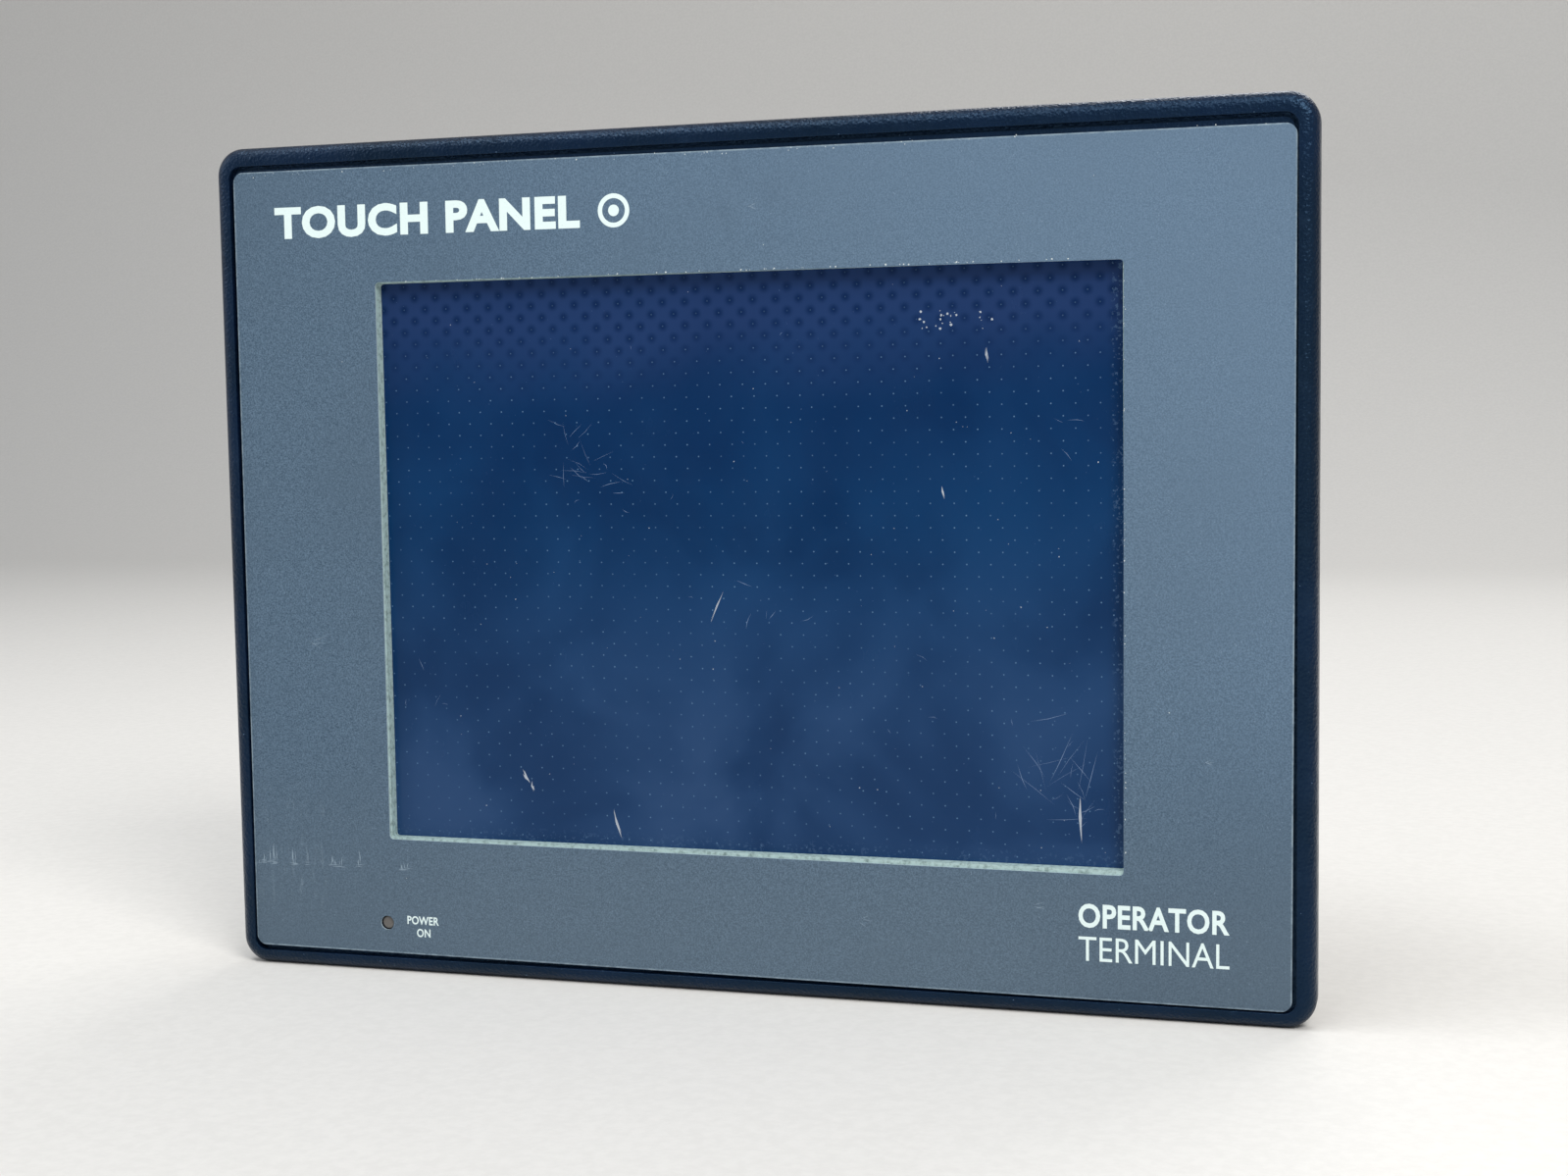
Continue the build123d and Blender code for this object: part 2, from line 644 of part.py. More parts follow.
def jack_screws():
    """Hexagonal posts beside the D connectors, tapped for a plug's thumb screws."""
    posts = []
    for at in jack_points():
        post = slab(Pos(*at) * RegularPolygon(2.7, 6), NOTCH_Y, NOTCH_Y + 5.0)
        stem = slab(disc(JACK_HOLE_R + 0.15, at), NOTCH_WALL_Y - 3, NOTCH_Y)
        posts.append(post + stem - slab(disc(JACK_HOLE_R, at), NOTCH_Y - 1, NOTCH_Y + 6))
    return posts


def tool_connector():
    """Round eight-way socket for the programming lead."""
    at = (TOOL_X, PORT_Z)
    face_y = NOTCH_Y + 1.5
    body = slab(disc(6.0, at), BOARD_BACK, face_y)
    body -= slab(disc(4.6, at) - disc(3.6, at), face_y - 4, face_y + 1)
    body += slab(rect(14, 13, 1.0, at), BOARD_BACK, NOTCH_WALL_Y - 0.5)
    for x, z in ((-2, 1), (0, 1.6), (2, 1), (-2, -1), (0, -1.2), (2, -1)):
        body -= slab(disc(0.45, (TOOL_X + x, PORT_Z + z)), face_y - 3, face_y + 1)
    return body


# Power terminals

def terminal_width():
    return TERMINAL_COUNT * TERMINAL_PITCH + BARRIER_T + 2 * EAR_T


def power_terminal_block():
    """Barrier strip: a base, a wall between each pair of bays, and two ears for the cover."""
    half = terminal_width() / 2
    bay_floor = NOTCH_Y + 3
    body = block(POWER_X - half, POWER_X + half, BOARD_BACK, bay_floor, TERMINAL_BOTTOM, TERMINAL_TOP)
    first = POWER_X - half + EAR_T
    for index in range(TERMINAL_COUNT + 1):
        x = first + index * TERMINAL_PITCH
        barrier = block(x, x + BARRIER_T, bay_floor, BARRIER_END_Y, TERMINAL_BOTTOM, TERMINAL_TOP)
        body += fillet(edges_at(barrier, BARRIER_END_Y), 0.35)
    last = first + TERMINAL_COUNT * TERMINAL_PITCH + BARRIER_T
    body += block(first, last, bay_floor, BARRIER_END_Y, TERMINAL_TOP - BARRIER_T, TERMINAL_TOP)
    for x0 in (POWER_X - half, POWER_X + half - EAR_T):
        ear = block(x0, x0 + EAR_T, NOTCH_Y, COVER_AXIS_Y + 2.4, COVER_AXIS_Z - 2.6, COVER_AXIS_Z + 2.4)
        ear = fillet([e for e in ear.edges().filter_by(Axis.X) if e.center().Y > COVER_AXIS_Y], 1.8)
        body += ear - rod_x(TRUNNION_R + RUNNING, x0 - 1, x0 + EAR_T + 1, COVER_AXIS_Y, COVER_AXIS_Z)
    return body


def terminal_screws():
    """One clamping screw with a square washer in each bay."""
    first = POWER_X - terminal_width() / 2 + EAR_T + BARRIER_T / 2
    screws = []
    for index in range(TERMINAL_COUNT):
        at = (first + (index + 0.5) * TERMINAL_PITCH, TERMINAL_TOP - 7.0)
        washer = slab(rect(6.4, 6.4, 0.6, at), NOTCH_Y + 3, NOTCH_Y + 4)
        screw = slab(disc(2.9, at), NOTCH_Y + 4, NOTCH_Y + 6.4)
        screw -= slab(rect(7, 0.9, at=at), NOTCH_Y + 5.4, NOTCH_Y + 7)
        screws.append(washer + screw)
    return screws


def terminal_cover():
    """Clear flap over the bays, turning on two moulded trunnions."""
    half = terminal_width() / 2 - EAR_T - 0.3
    x0 = POWER_X - half
    x1 = POWER_X + half
    plate_y = BARRIER_END_Y + 0.4
    flap = block(x0, x1, plate_y, plate_y + 1.4, TERMINAL_BOTTOM, COVER_AXIS_Z)
    barrel = rod_x(COVER_BARREL_R, x0, x1, COVER_AXIS_Y, COVER_AXIS_Z)
    pegs = rod_x(TRUNNION_R, x0 - EAR_T + 0.2, x1 + EAR_T - 0.2, COVER_AXIS_Y, COVER_AXIS_Z)
    lip = block(x0, x1, plate_y, plate_y + 2.6, TERMINAL_BOTTOM, TERMINAL_BOTTOM + 1.2)
    lip = fillet(edges_at(lip, plate_y + 2.6), 0.5)
    return flap + barrel + pegs + lip


# Service bay

def bay_floor_openings(grow):
    """Outlines of what comes up through the bay's floor."""
    dip_w, dip_h = dip_size()
    return [
        rect(dip_w + 2 * grow, dip_h + 2 * grow, at=DIP_AT),
        rect(50 + 2 * grow, 7 + 2 * grow, at=EXPANSION_AT),
    ]


def service_bay_tub():
    """Open box between the housing's back wall and the main board's service controls."""
    rim_y = HOUSING_D - DOOR_T - 0.4
    outer = slab(rect(BAY_W, BAY_H, 2.0, BAY_CENTRE), BAY_FLOOR_Y - BAY_WALL, rim_y)
    flange = slab(rect(BAY_W + 8, BAY_H + 8, 2.0, BAY_CENTRE), INNER_BACK - 1.5, INNER_BACK)
    inner = rect(BAY_W - 2 * BAY_WALL, BAY_H - 2 * BAY_WALL, 1.0, BAY_CENTRE)
    body = outer + flange - slab(inner, BAY_FLOOR_Y, HOUSING_D + 1)
    for sketch in bay_floor_openings(0.3):
        body -= slab(sketch, BAY_FLOOR_Y - BAY_WALL - 1, BAY_FLOOR_Y + 1)
    return body - slab(disc(RESET_R + 0.1, RESET_AT), BAY_FLOOR_Y - BAY_WALL - 1, BAY_FLOOR_Y + 1)


def service_door():
    """Flush flap with one long barrel and a finger scoop at its free edge."""
    x, z = BAY_CENTRE
    axis_x = door_axis_x()
    y0 = HOUSING_D - DOOR_T
    plate = slab(rect(DOOR_W, DOOR_H, 1.2, BAY_CENTRE), y0, HOUSING_D)
    plate = fillet(edges_at(plate, HOUSING_D), 0.5)
    reach = DOOR_H / 2 + DOOR_GAP - KNUCKLE_L
    for side in (-1, 1):
        span = sorted((z + side * (reach - 0.3), z + side * (DOOR_H / 2 + 1)))
        plate -= block(axis_x - 3, axis_x + DOOR_BARREL_R + 0.5, y0 - 1, HOUSING_D + 1, *span)
    barrel = rod_z(DOOR_BARREL_R, axis_x, DOOR_AXIS_Y, z - reach + 0.3, z + reach - 0.3)
    web = block(axis_x, axis_x + 3, y0, HOUSING_D, z - reach + 0.3, z + reach - 0.3)
    body = plate + barrel + web
    body -= rod_z(DOOR_PIN_R + RUNNING, axis_x, DOOR_AXIS_Y, z - reach - 1, z + reach + 1)
    scoop = Pos(x + DOOR_W / 2 - 3, HOUSING_D + 5.2, z) * Sphere(6.0)
    return body - scoop


def service_door_pin():
    reach = DOOR_H / 2 + DOOR_GAP
    return rod_z(DOOR_PIN_R, door_axis_x(), DOOR_AXIS_Y, BAY_CENTRE[1] - reach, BAY_CENTRE[1] + reach)


def expansion_connector():
    """Two-row socket strip for a communication card."""
    body = slab(rect(50, 7, 0.5, EXPANSION_AT), BOARD_BACK, BAY_FLOOR_Y + 4)
    return body - slab(rect(45, 2.2, at=EXPANSION_AT), BAY_FLOOR_Y, BAY_FLOOR_Y + 5)


def dip_size():
    return (DIP_COUNT * DIP_PITCH + 1.5, 9.8)


def dip_x(index):
    return DIP_AT[0] + (index - (DIP_COUNT - 1) / 2) * DIP_PITCH


def dip_switch_body():
    """Body of the four-way slide switch, with one slot for each slider."""
    width, height = dip_size()
    body = slab(rect(width, height, at=DIP_AT), BOARD_BACK, DIP_TOP_Y)
    slot_w = DIP_KNOB_W + 2 * DIP_SLOT_CLEAR
    slot_h = DIP_KNOB_H + DIP_TRAVEL + 2 * DIP_SLOT_CLEAR
    for index in range(DIP_COUNT):
        body -= slab(rect(slot_w, slot_h, at=(dip_x(index), DIP_AT[1])), DIP_TOP_Y - 2.2, DIP_TOP_Y + 1)
    return body


def dip_slider(index):
    """One slider, resting at the lower end of its slot."""
    at = (dip_x(index), DIP_AT[1] - DIP_TRAVEL / 2)
    return slab(rect(DIP_KNOB_W, DIP_KNOB_H, at=at), DIP_TOP_Y - 2.1, DIP_TOP_Y + 1.2)


def reset_button():
    """Round push button with a collar that stops it under the bay's floor."""
    floor_back = BAY_FLOOR_Y - BAY_WALL
    cap = slab(disc(RESET_R, RESET_AT), floor_back - 0.5, BAY_FLOOR_Y + 4)
    cap = fillet(edges_at(cap, BAY_FLOOR_Y + 4), 0.6)
    return cap + slab(disc(RESET_R + 0.8, RESET_AT), floor_back - 1.1, floor_back - 0.2)


def reset_switch_base():
    return slab(rect(6, 6, 0.4, RESET_AT), BOARD_BACK, BOARD_BACK + 0.5)


# Panel clamps

def clamp_bracket(x, side):
    """Block outside the housing with a tapped hole, a tongue through the wall and a hook inside."""
    half_h = HOUSING_H / 2
    y0, y1 = CLAMP_Y

    def level(a, b):
        return sorted((side * a, side * b))

    body = block(x - CLAMP_W / 2, x + CLAMP_W / 2, y0, y1, *level(half_h, BEZEL_H / 2))
    body = fillet(body.edges().filter_by(Axis.Z), 1.2)
    body += block(x - 5.5, x + 5.5, y0 + 1, y0 + 7, *level(half_h - WALL, half_h))
    body += block(x - 5.5, x + 5.5, y0 - 1.5, y0 + 7, *level(half_h - WALL - 1.5, half_h - WALL))
    return body - slab(disc(CLAMP_SCREW_R + RUNNING, (x, side * CLAMP_SCREW_Z)), y0 - 1, y1 + 1)


def clamp_foot(x, side):
    """Round pressure foot with a socket for the screw's tip."""
    at = (x, side * CLAMP_SCREW_Z)
    foot = slab(disc(FOOT_R, at), *FOOT_Y)
    foot = fillet(edges_at(foot, FOOT_Y[1]), 0.8)
    return foot - slab(disc(FOOT_SOCKET_R, at), FOOT_Y[1] - FOOT_SOCKET_DEPTH, FOOT_Y[1] + 1)


def clamp_screw(x, side):
    """Pan-head clamp screw whose reduced tip turns in the foot."""
    at = (x, side * CLAMP_SCREW_Z)
    tip_y, head_y = CLAMP_SCREW_Y
    thread_y = FOOT_Y[1] + 0.1
    length = head_y - thread_y
    screw = pan_screw(at, head_y, length, -1, CLAMP_SCREW_R, CLAMP_HEAD_R, CLAMP_HEAD_L)
    return screw + slab(disc(FOOT_SOCKET_R - 0.1, at), tip_y - 0.7, thread_y)


# Output

os.makedirs("parts", exist_ok=True)

SINGLE_NODES = [
    front_bezel, front_overlay, window_seal, touch_film, touch_glass, touch_tail, status_light_pipe,
    lcd_frame, lcd_cell, lcd_light_guide, lcd_back_plate, backlight_lamps, chassis_plate, inner_screws,
    cover_standoffs, board_standoffs, processor_chip, processor_heatsink, memory_chips, backup_battery,
    power_transformer, power_capacitors, inverter_transformer, lcd_ribbon, rear_housing, housing_screws,
    rating_label, jack_screws, tool_connector, power_terminal_block, terminal_screws, terminal_cover,
    service_bay_tub, service_door, service_door_pin, expansion_connector, dip_switch_body, reset_button,
    reset_switch_base,
]
for build_node in SINGLE_NODES:
    save(build_node.__name__, build_node())

save("panel_gasket", gasket_ring(0.1))
save("main_board", board(MAIN_BOARD, MAIN_STANDOFFS, [(4.5, (0, -60))]))
save("power_board", board(POWER_BOARD, POWER_STANDOFFS))
save("inverter_board", board((-120, -55, 84, 100), INVERTER_STANDOFFS))
for label, port_x, pin_count in (("comm", COMM_X, 25), ("printer", PRINTER_X, 9)):
    save(f"{label}_connector_shell", dsub_shell(port_x, pin_count))
    save(f"{label}_connector_insulator", dsub_insulator(port_x, pin_count))
for number in range(DIP_COUNT):
    save(f"dip_slider_{number + 1}", dip_slider(number))
save("clamp_brackets", [clamp_bracket(x, side) for x, side in CLAMP_SPOTS])
for number, (spot_x, spot_side) in enumerate(CLAMP_SPOTS, start=1):
    save(f"clamp_foot_{number}", clamp_foot(spot_x, spot_side))
    save(f"clamp_screw_{number}", clamp_screw(spot_x, spot_side))
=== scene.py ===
import json
import math
import random

import bmesh
import bpy
from mathutils import Matrix, Vector


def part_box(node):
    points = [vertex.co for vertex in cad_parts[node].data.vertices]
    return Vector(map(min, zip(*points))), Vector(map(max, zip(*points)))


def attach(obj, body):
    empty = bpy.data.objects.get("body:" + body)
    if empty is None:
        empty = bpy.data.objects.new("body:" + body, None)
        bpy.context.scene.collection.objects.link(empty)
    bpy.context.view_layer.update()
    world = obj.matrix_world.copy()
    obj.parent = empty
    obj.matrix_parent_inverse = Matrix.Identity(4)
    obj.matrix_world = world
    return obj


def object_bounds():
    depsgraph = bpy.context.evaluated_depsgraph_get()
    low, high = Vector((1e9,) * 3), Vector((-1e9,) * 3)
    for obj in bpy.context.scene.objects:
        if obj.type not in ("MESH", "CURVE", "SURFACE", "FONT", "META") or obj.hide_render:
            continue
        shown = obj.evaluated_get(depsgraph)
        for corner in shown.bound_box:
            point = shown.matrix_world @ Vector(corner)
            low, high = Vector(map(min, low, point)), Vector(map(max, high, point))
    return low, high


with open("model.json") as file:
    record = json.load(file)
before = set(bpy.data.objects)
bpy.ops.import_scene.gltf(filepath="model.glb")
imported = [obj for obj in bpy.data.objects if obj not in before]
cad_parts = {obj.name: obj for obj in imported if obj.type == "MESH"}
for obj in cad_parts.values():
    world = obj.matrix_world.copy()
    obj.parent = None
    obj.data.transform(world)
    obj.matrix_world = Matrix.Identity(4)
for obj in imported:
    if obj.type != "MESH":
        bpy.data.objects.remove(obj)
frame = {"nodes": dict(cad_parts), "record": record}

# Looks for the touch panel. Metres, in the frame of the CAD: X right, Z up, front towards -Y.

MM = 0.001
CAD_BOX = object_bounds()
SEED = 11

# Places read from the frame
OVERLAY_LOW, OVERLAY_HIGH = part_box("front_overlay")
FILM_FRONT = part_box("touch_film")[0].y
OVERLAY_FRONT = OVERLAY_LOW.y
FLOOR_Z = CAD_BOX[0][2]
SEAL_LOW, SEAL_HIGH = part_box("window_seal")
WINDOW_TOP = SEAL_HIGH.z - 5.55 * MM
WINDOW_RIGHT = SEAL_HIGH.x - 5.6 * MM
LABEL_LOW, LABEL_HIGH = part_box("rating_label")
SWITCH_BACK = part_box("dip_switch_body")[1].y
BAY_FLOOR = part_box("service_bay_tub")[0].y + 1.5 * MM
NOTCH_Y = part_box("jack_screws")[1].y - 5 * MM
PORT_MARK_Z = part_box("jack_screws")[0].z - 9 * MM
TERMINAL_MARK_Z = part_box("power_terminal_block")[0].z - 2.6 * MM

# Overlay and print
OVERLAY_TURN = math.radians(-0.2)
OVERLAY_CENTRE = ((OVERLAY_LOW + OVERLAY_HIGH) / 2).xz
OVERLAY_W = 305.4 * MM
OVERLAY_H = 230.0 * MM
PRINT_T = 0.02 * MM
SCREEN_LOW = (-107.0 * MM, -81.0 * MM)
SCREEN_HIGH = (108.4 * MM, 80.0 * MM)

# Words on the overlay: name, words, left edge, foot, width and height in millimetres, and weight
FRONT_WORDS = [
    ("title_print", "TOUCH PANEL", -139.5, 93.9, 96.0, 9.3, 0.044),
    ("light_label_upper", "POWER", -102.6, -107.4, 10.2, 2.5, 0.022),
    ("light_label_lower", "ON", -99.6, -111.1, 4.4, 2.5, 0.022),
    ("panel_type_upper", "OPERATOR", 96.5, -96.8, 40.0, 6.6, 0.026),
    ("panel_type_lower", "TERMINAL", 96.5, -105.8, 40.0, 6.6, -0.002),
]

# Spacer dots under the touch film
DOT_PITCH = 6.63 * MM
DOT_ORIGIN = (-0.65 * MM, 0, 46.45 * MM)
DOT_R = 0.26 * MM
HALO_R = 2.1 * MM

# Clamp screws: the distance of their axes from the middle, and their thread
CLAMP_X = 75.0 * MM
CLAMP_Z = 117.3 * MM
THREAD_R = 2.0 * MM
THREAD_PITCH = 0.7 * MM

# Scratches on the screen, in millimetres: centre x and z, spread, number, shortest and longest
SCREEN_NESTS = [
    (-45, 22, 9, 16, 2, 10),
    (-52, 34, 4, 5, 3, 8),
    (90, -58, 9, 15, 4, 17),
    (97, -66, 5, 8, 3, 9),
    (10, -12, 12, 5, 2, 6),
    (96, 30, 8, 3, 2, 5),
    (-95, -40, 10, 5, 2, 6),
    (60, -40, 30, 6, 1.5, 4),
    (-10, 40, 55, 6, 1, 3),
]

# Marks on the screen, in millimetres: where each starts and ends, and how wide it is
SCREEN_GOUGES = [
    ((96.3, -63.0), (96.5, -74.5), 0.9),
    ((-38.2, -71.5), (-36.0, -78.5), 0.8),
    ((-66.2, -61.0), (-64.2, -64.0), 1.0),
    ((-63.4, -64.6), (-63.0, -66.0), 0.9),
    ((59.0, 21.0), (59.6, 17.5), 0.4),
    ((71.5, 58.0), (72.0, 54.5), 0.5),
    ((-4.0, -8.0), (-8.0, -17.0), 0.25),
]

# Cluster of chips on the screen: its number, and its centre and spread in x and z in millimetres
CHIP_CLUSTER = 24
CHIP_CENTRE = (63, 66)
CHIP_SPREAD = (6, 1.8)

# Scuffs on the overlay, in millimetres: x, tallest, number and spread; then x, z and reach
SCUFF_Z = -90.5
SCUFF_CLUSTERS = [
    (-151.0, 3.0, 5, 1.0),
    (-146.5, 7.0, 7, 1.0),
    (-140.0, 5.0, 4, 0.8),
    (-135.5, 6.5, 2, 0.3),
    (-126.5, 3.5, 7, 1.4),
    (-118.0, 5.0, 2, 0.5),
    (-104.0, 2.6, 5, 0.8),
]
FAINT_STRAYS = [
    (-132.0, -24.0, 6.0),
    (84.0, -92.0, 4.0),
    (130.0, -52.0, 3.0),
    (36.0, -99.0, 4.0),
    (6.0, 98.0, 3.0),
]

# Words on the back, with widths in millimetres; the ports' marks add their x, the terminals' their height
PORT_MARKS = [("1", 0.9, 42), ("2", 2.0, -28), ("3", 2.0, 100)]
TERMINAL_MARKS = [("+", 2.4, 2.4), ("-", 2.4, 0.5), ("E", 1.8, 2.4)]
SWITCH_MARKS = [("1", 0.4), ("2", 0.9), ("3", 0.9), ("4", 1.0)]
LABEL_LINES = [("TOUCH PANEL", 34), ("24 V DC  20 W", 29), ("INDOOR USE", 22)]

# Places and heights of the marks on the back, in millimetres
PORT_MARK_H = 3.2
TERMINAL_X = -100.5
TERMINAL_PITCH = 9.5
SWITCH_X = 42.0
SWITCH_PITCH = 2.54
SWITCH_MARK_Z = 37.8
SWITCH_MARK_H = 1.4
RESET_MARK_AT = (84.0, 35.6)
RESET_MARK_SIZE = (8.0, 1.8)

# Rating label, in millimetres: its margin, its letters' height, and how far below its top things lie
LABEL_MARGIN = 4
LABEL_LETTER_H = 2.7
LABEL_FIRST_LINE = 7.5
LABEL_LINE_STEP = 6.0
LABEL_RULES = (9.3, 15.3, 21.3, 32.5)

# Touch symbol on the overlay
SYMBOL_AT = (-33.0 * MM, 98.6 * MM)
SYMBOL_R = 4.7 * MM

# Camera
LENS_MM = 50.9
CAMERA_AT = Vector((0.1946, -0.5909, 0.0431))
CAMERA_AIM = Vector((0.0152, -0.009, -0.0064))
CAMERA_ROLL = math.radians(0.9)


# Small helpers

def srgb(red, green, blue):
    """A colour given as it looks on a screen, 0 to 255, as linear numbers."""
    return tuple((c / 255 / 12.92) if c <= 10 else ((c / 255 + 0.055) / 1.055) ** 2.4
                 for c in (red, green, blue)) + (1.0,)


def keep(name, mesh, body, finish):
    """Puts a finished mesh in the scene, on its body, with its finish as its material."""
    piece = bpy.data.objects.new(name, mesh)
    bpy.context.scene.collection.objects.link(piece)
    mesh.materials.clear()
    mesh.materials.append(finish)
    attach(piece, body)
    return piece


def mesh_from(bm, name):
    """Ends a bmesh with its faces turned outwards and returns its mesh."""
    bmesh.ops.recalc_face_normals(bm, faces=bm.faces[:])
    mesh = bpy.data.meshes.new(name)
    bm.to_mesh(mesh)
    bm.free()
    return mesh


class Shade:
    """The node tree of one material. Textures are placed in metres in the frame of the CAD."""

    def __init__(self, name, **inputs):
        self.material = bpy.data.materials.new(name)
        self.material.use_nodes = True
        self.tree = self.material.node_tree
        self.shader = self.tree.nodes["Principled BSDF"]
        self.place = self.add("ShaderNodeTexCoord").outputs["Object"]
        for key, value in inputs.items():
            self.shader.inputs[key.replace("_", " ")].default_value = value

    def add(self, kind, **settings):
        node = self.tree.nodes.new(kind)
        for key, value in settings.items():
            setattr(node, key, value)
        return node

    def feed(self, socket, value):
        """Links an output to a socket, or sets a plain value on it. None leaves it as it is."""
        if isinstance(value, bpy.types.NodeSocket):
            self.tree.links.new(value, socket)
        elif value is not None:
            socket.default_value = value

    def stretched(self, scale, turn=0.0):
        node = self.add("ShaderNodeMapping")
        self.feed(node.inputs["Vector"], self.place)
        node.inputs["Scale"].default_value = scale
        node.inputs["Rotation"].default_value = (0, turn, 0)
        return node.outputs["Vector"]

    def noise(self, size, detail=2.0, roughness=0.5, place=None, distortion=0.0):
        """Noise whose features are about that size, in metres."""
        node = self.add("ShaderNodeTexNoise")
        self.feed(node.inputs["Vector"], place or self.place)
        node.inputs["Scale"].default_value = 1 / size
        node.inputs["Detail"].default_value = detail
        node.inputs["Roughness"].default_value = roughness
        node.inputs["Distortion"].default_value = distortion
        return node.outputs["Fac"]

    def cells(self, size, place=None):
        node = self.add("ShaderNodeTexVoronoi")
        self.feed(node.inputs["Vector"], place or self.place)
        node.inputs["Scale"].default_value = 1 / size
        return node.outputs["Distance"]

    def maths(self, operation, first, second=None):
        node = self.add("ShaderNodeMath", operation=operation)
        for socket, value in zip(node.inputs, (first, second)):
            self.feed(socket, value)
        return node.outputs[0]

    def step(self, value, low, high, low_to=0.0, high_to=1.0):
        """Smoothly takes value from low to high onto low_to to high_to."""
        node = self.add("ShaderNodeMapRange", interpolation_type="SMOOTHSTEP")
        for socket, number in zip(node.inputs, (value, low, high, low_to, high_to)):
            self.feed(socket, number)
        return node.outputs[0]

    def mix(self, share, first, second):
        """First colour where share is 0 and second where it is 1."""
        node = self.add("ShaderNodeMix", data_type="RGBA")
        self.feed(node.inputs[0], share)
        self.feed(node.inputs[6], first)
        self.feed(node.inputs[7], second)
        return node.outputs[2]

    def axis(self, name):
        node = self.add("ShaderNodeSeparateXYZ")
        self.feed(node.inputs[0], self.place)
        return node.outputs[name]

    def along(self, direction, centre):
        """Distance in metres from a centre on the front, along a direction given in X and Z."""
        away = self.add("ShaderNodeVectorMath", operation="SUBTRACT")
        self.feed(away.inputs[0], self.place)
        away.inputs[1].default_value = (centre[0], 0, centre[1])
        onto = self.add("ShaderNodeVectorMath", operation="DOT_PRODUCT")
        self.feed(onto.inputs[0], away.outputs[0])
        onto.inputs[1].default_value = (direction[0], 0, direction[1])
        return onto.outputs["Value"]

    def normal_axis(self, name):
        node = self.add("ShaderNodeSeparateXYZ")
        self.feed(node.inputs[0], self.add("ShaderNodeNewGeometry").outputs["Normal"])
        return node.outputs[name]

    def spot(self, centre, radius):
        """1 at a place on the front, falling to 0 at radius from it."""
        away = self.add("ShaderNodeVectorMath", operation="SUBTRACT")
        self.feed(away.inputs[0], self.place)
        away.inputs[1].default_value = (centre[0], 0, centre[1])
        flat = self.add("ShaderNodeVectorMath", operation="MULTIPLY")
        self.feed(flat.inputs[0], away.outputs[0])
        flat.inputs[1].default_value = (1, 0, 1)
        length = self.add("ShaderNodeVectorMath", operation="LENGTH")
        self.feed(length.inputs[0], flat.outputs[0])
        return self.step(length.outputs["Value"], radius, radius * 0.3)

    def dots(self, shift):
        """Distance in metres to the nearest point of a square grid, shifted by a share of its pitch."""
        away = self.add("ShaderNodeVectorMath", operation="SUBTRACT")
        self.feed(away.inputs[0], self.place)
        away.inputs[1].default_value = DOT_ORIGIN
        scaled = self.add("ShaderNodeVectorMath", operation="SCALE")
        self.feed(scaled.inputs[0], away.outputs[0])
        scaled.inputs["Scale"].default_value = 1 / DOT_PITCH
        moved = self.add("ShaderNodeVectorMath", operation="ADD")
        self.feed(moved.inputs[0], scaled.outputs[0])
        moved.inputs[1].default_value = (shift + 0.5, 0, shift + 0.5)
        share = self.add("ShaderNodeVectorMath", operation="FRACTION")
        self.feed(share.inputs[0], moved.outputs[0])
        centred = self.add("ShaderNodeVectorMath", operation="SUBTRACT")
        self.feed(centred.inputs[0], share.outputs[0])
        centred.inputs[1].default_value = (0.5, 0, 0.5)
        flat = self.add("ShaderNodeVectorMath", operation="MULTIPLY")
        self.feed(flat.inputs[0], centred.outputs[0])
        flat.inputs[1].default_value = (1, 0, 1)
        length = self.add("ShaderNodeVectorMath", operation="LENGTH")
        self.feed(length.inputs[0], flat.outputs[0])
        return self.maths("MULTIPLY", length.outputs["Value"], DOT_PITCH)

    def bump(self, height, distance):
        """Sets the material's bump from a height of 0 to 1, which stands for that distance."""
        node = self.add("ShaderNodeBump")
        self.feed(node.inputs["Height"], height)
        node.inputs["Distance"].default_value = distance
        self.tree.links.new(node.outputs["Normal"], self.shader.inputs["Normal"])

    def finish(self, colour, roughness):
        self.feed(self.shader.inputs["Base Color"], colour)
        self.feed(self.shader.inputs["Roughness"], roughness)
        return self.material


# Materials

def moulded_plastic(name, colour, worn, grain, grain_depth, rough, specks=0.72):
    """Textured moulding: fine grain, slow changes of gloss, and small pale nicks."""
    shade = Shade(name)
    fine = shade.noise(grain, 3.0, 0.6)
    pits = shade.cells(grain * 1.6)
    slow = shade.noise(35 * MM, 3.0)
    nick = shade.step(shade.noise(1.1 * MM, 2.0, 0.7), specks, specks + 0.03)
    tone = shade.mix(shade.step(slow, 0.3, 0.75), colour, tuple(c * 1.35 for c in colour[:3]) + (1.0,))
    shade.bump(shade.maths("ADD", shade.maths("MULTIPLY", fine, 0.6), pits), grain_depth)
    gloss = shade.step(shade.noise(6 * MM, 4.0, 0.6), 0.25, 0.8, rough - 0.07, rough + 0.08)
    return shade.finish(shade.mix(nick, tone, worn), gloss)


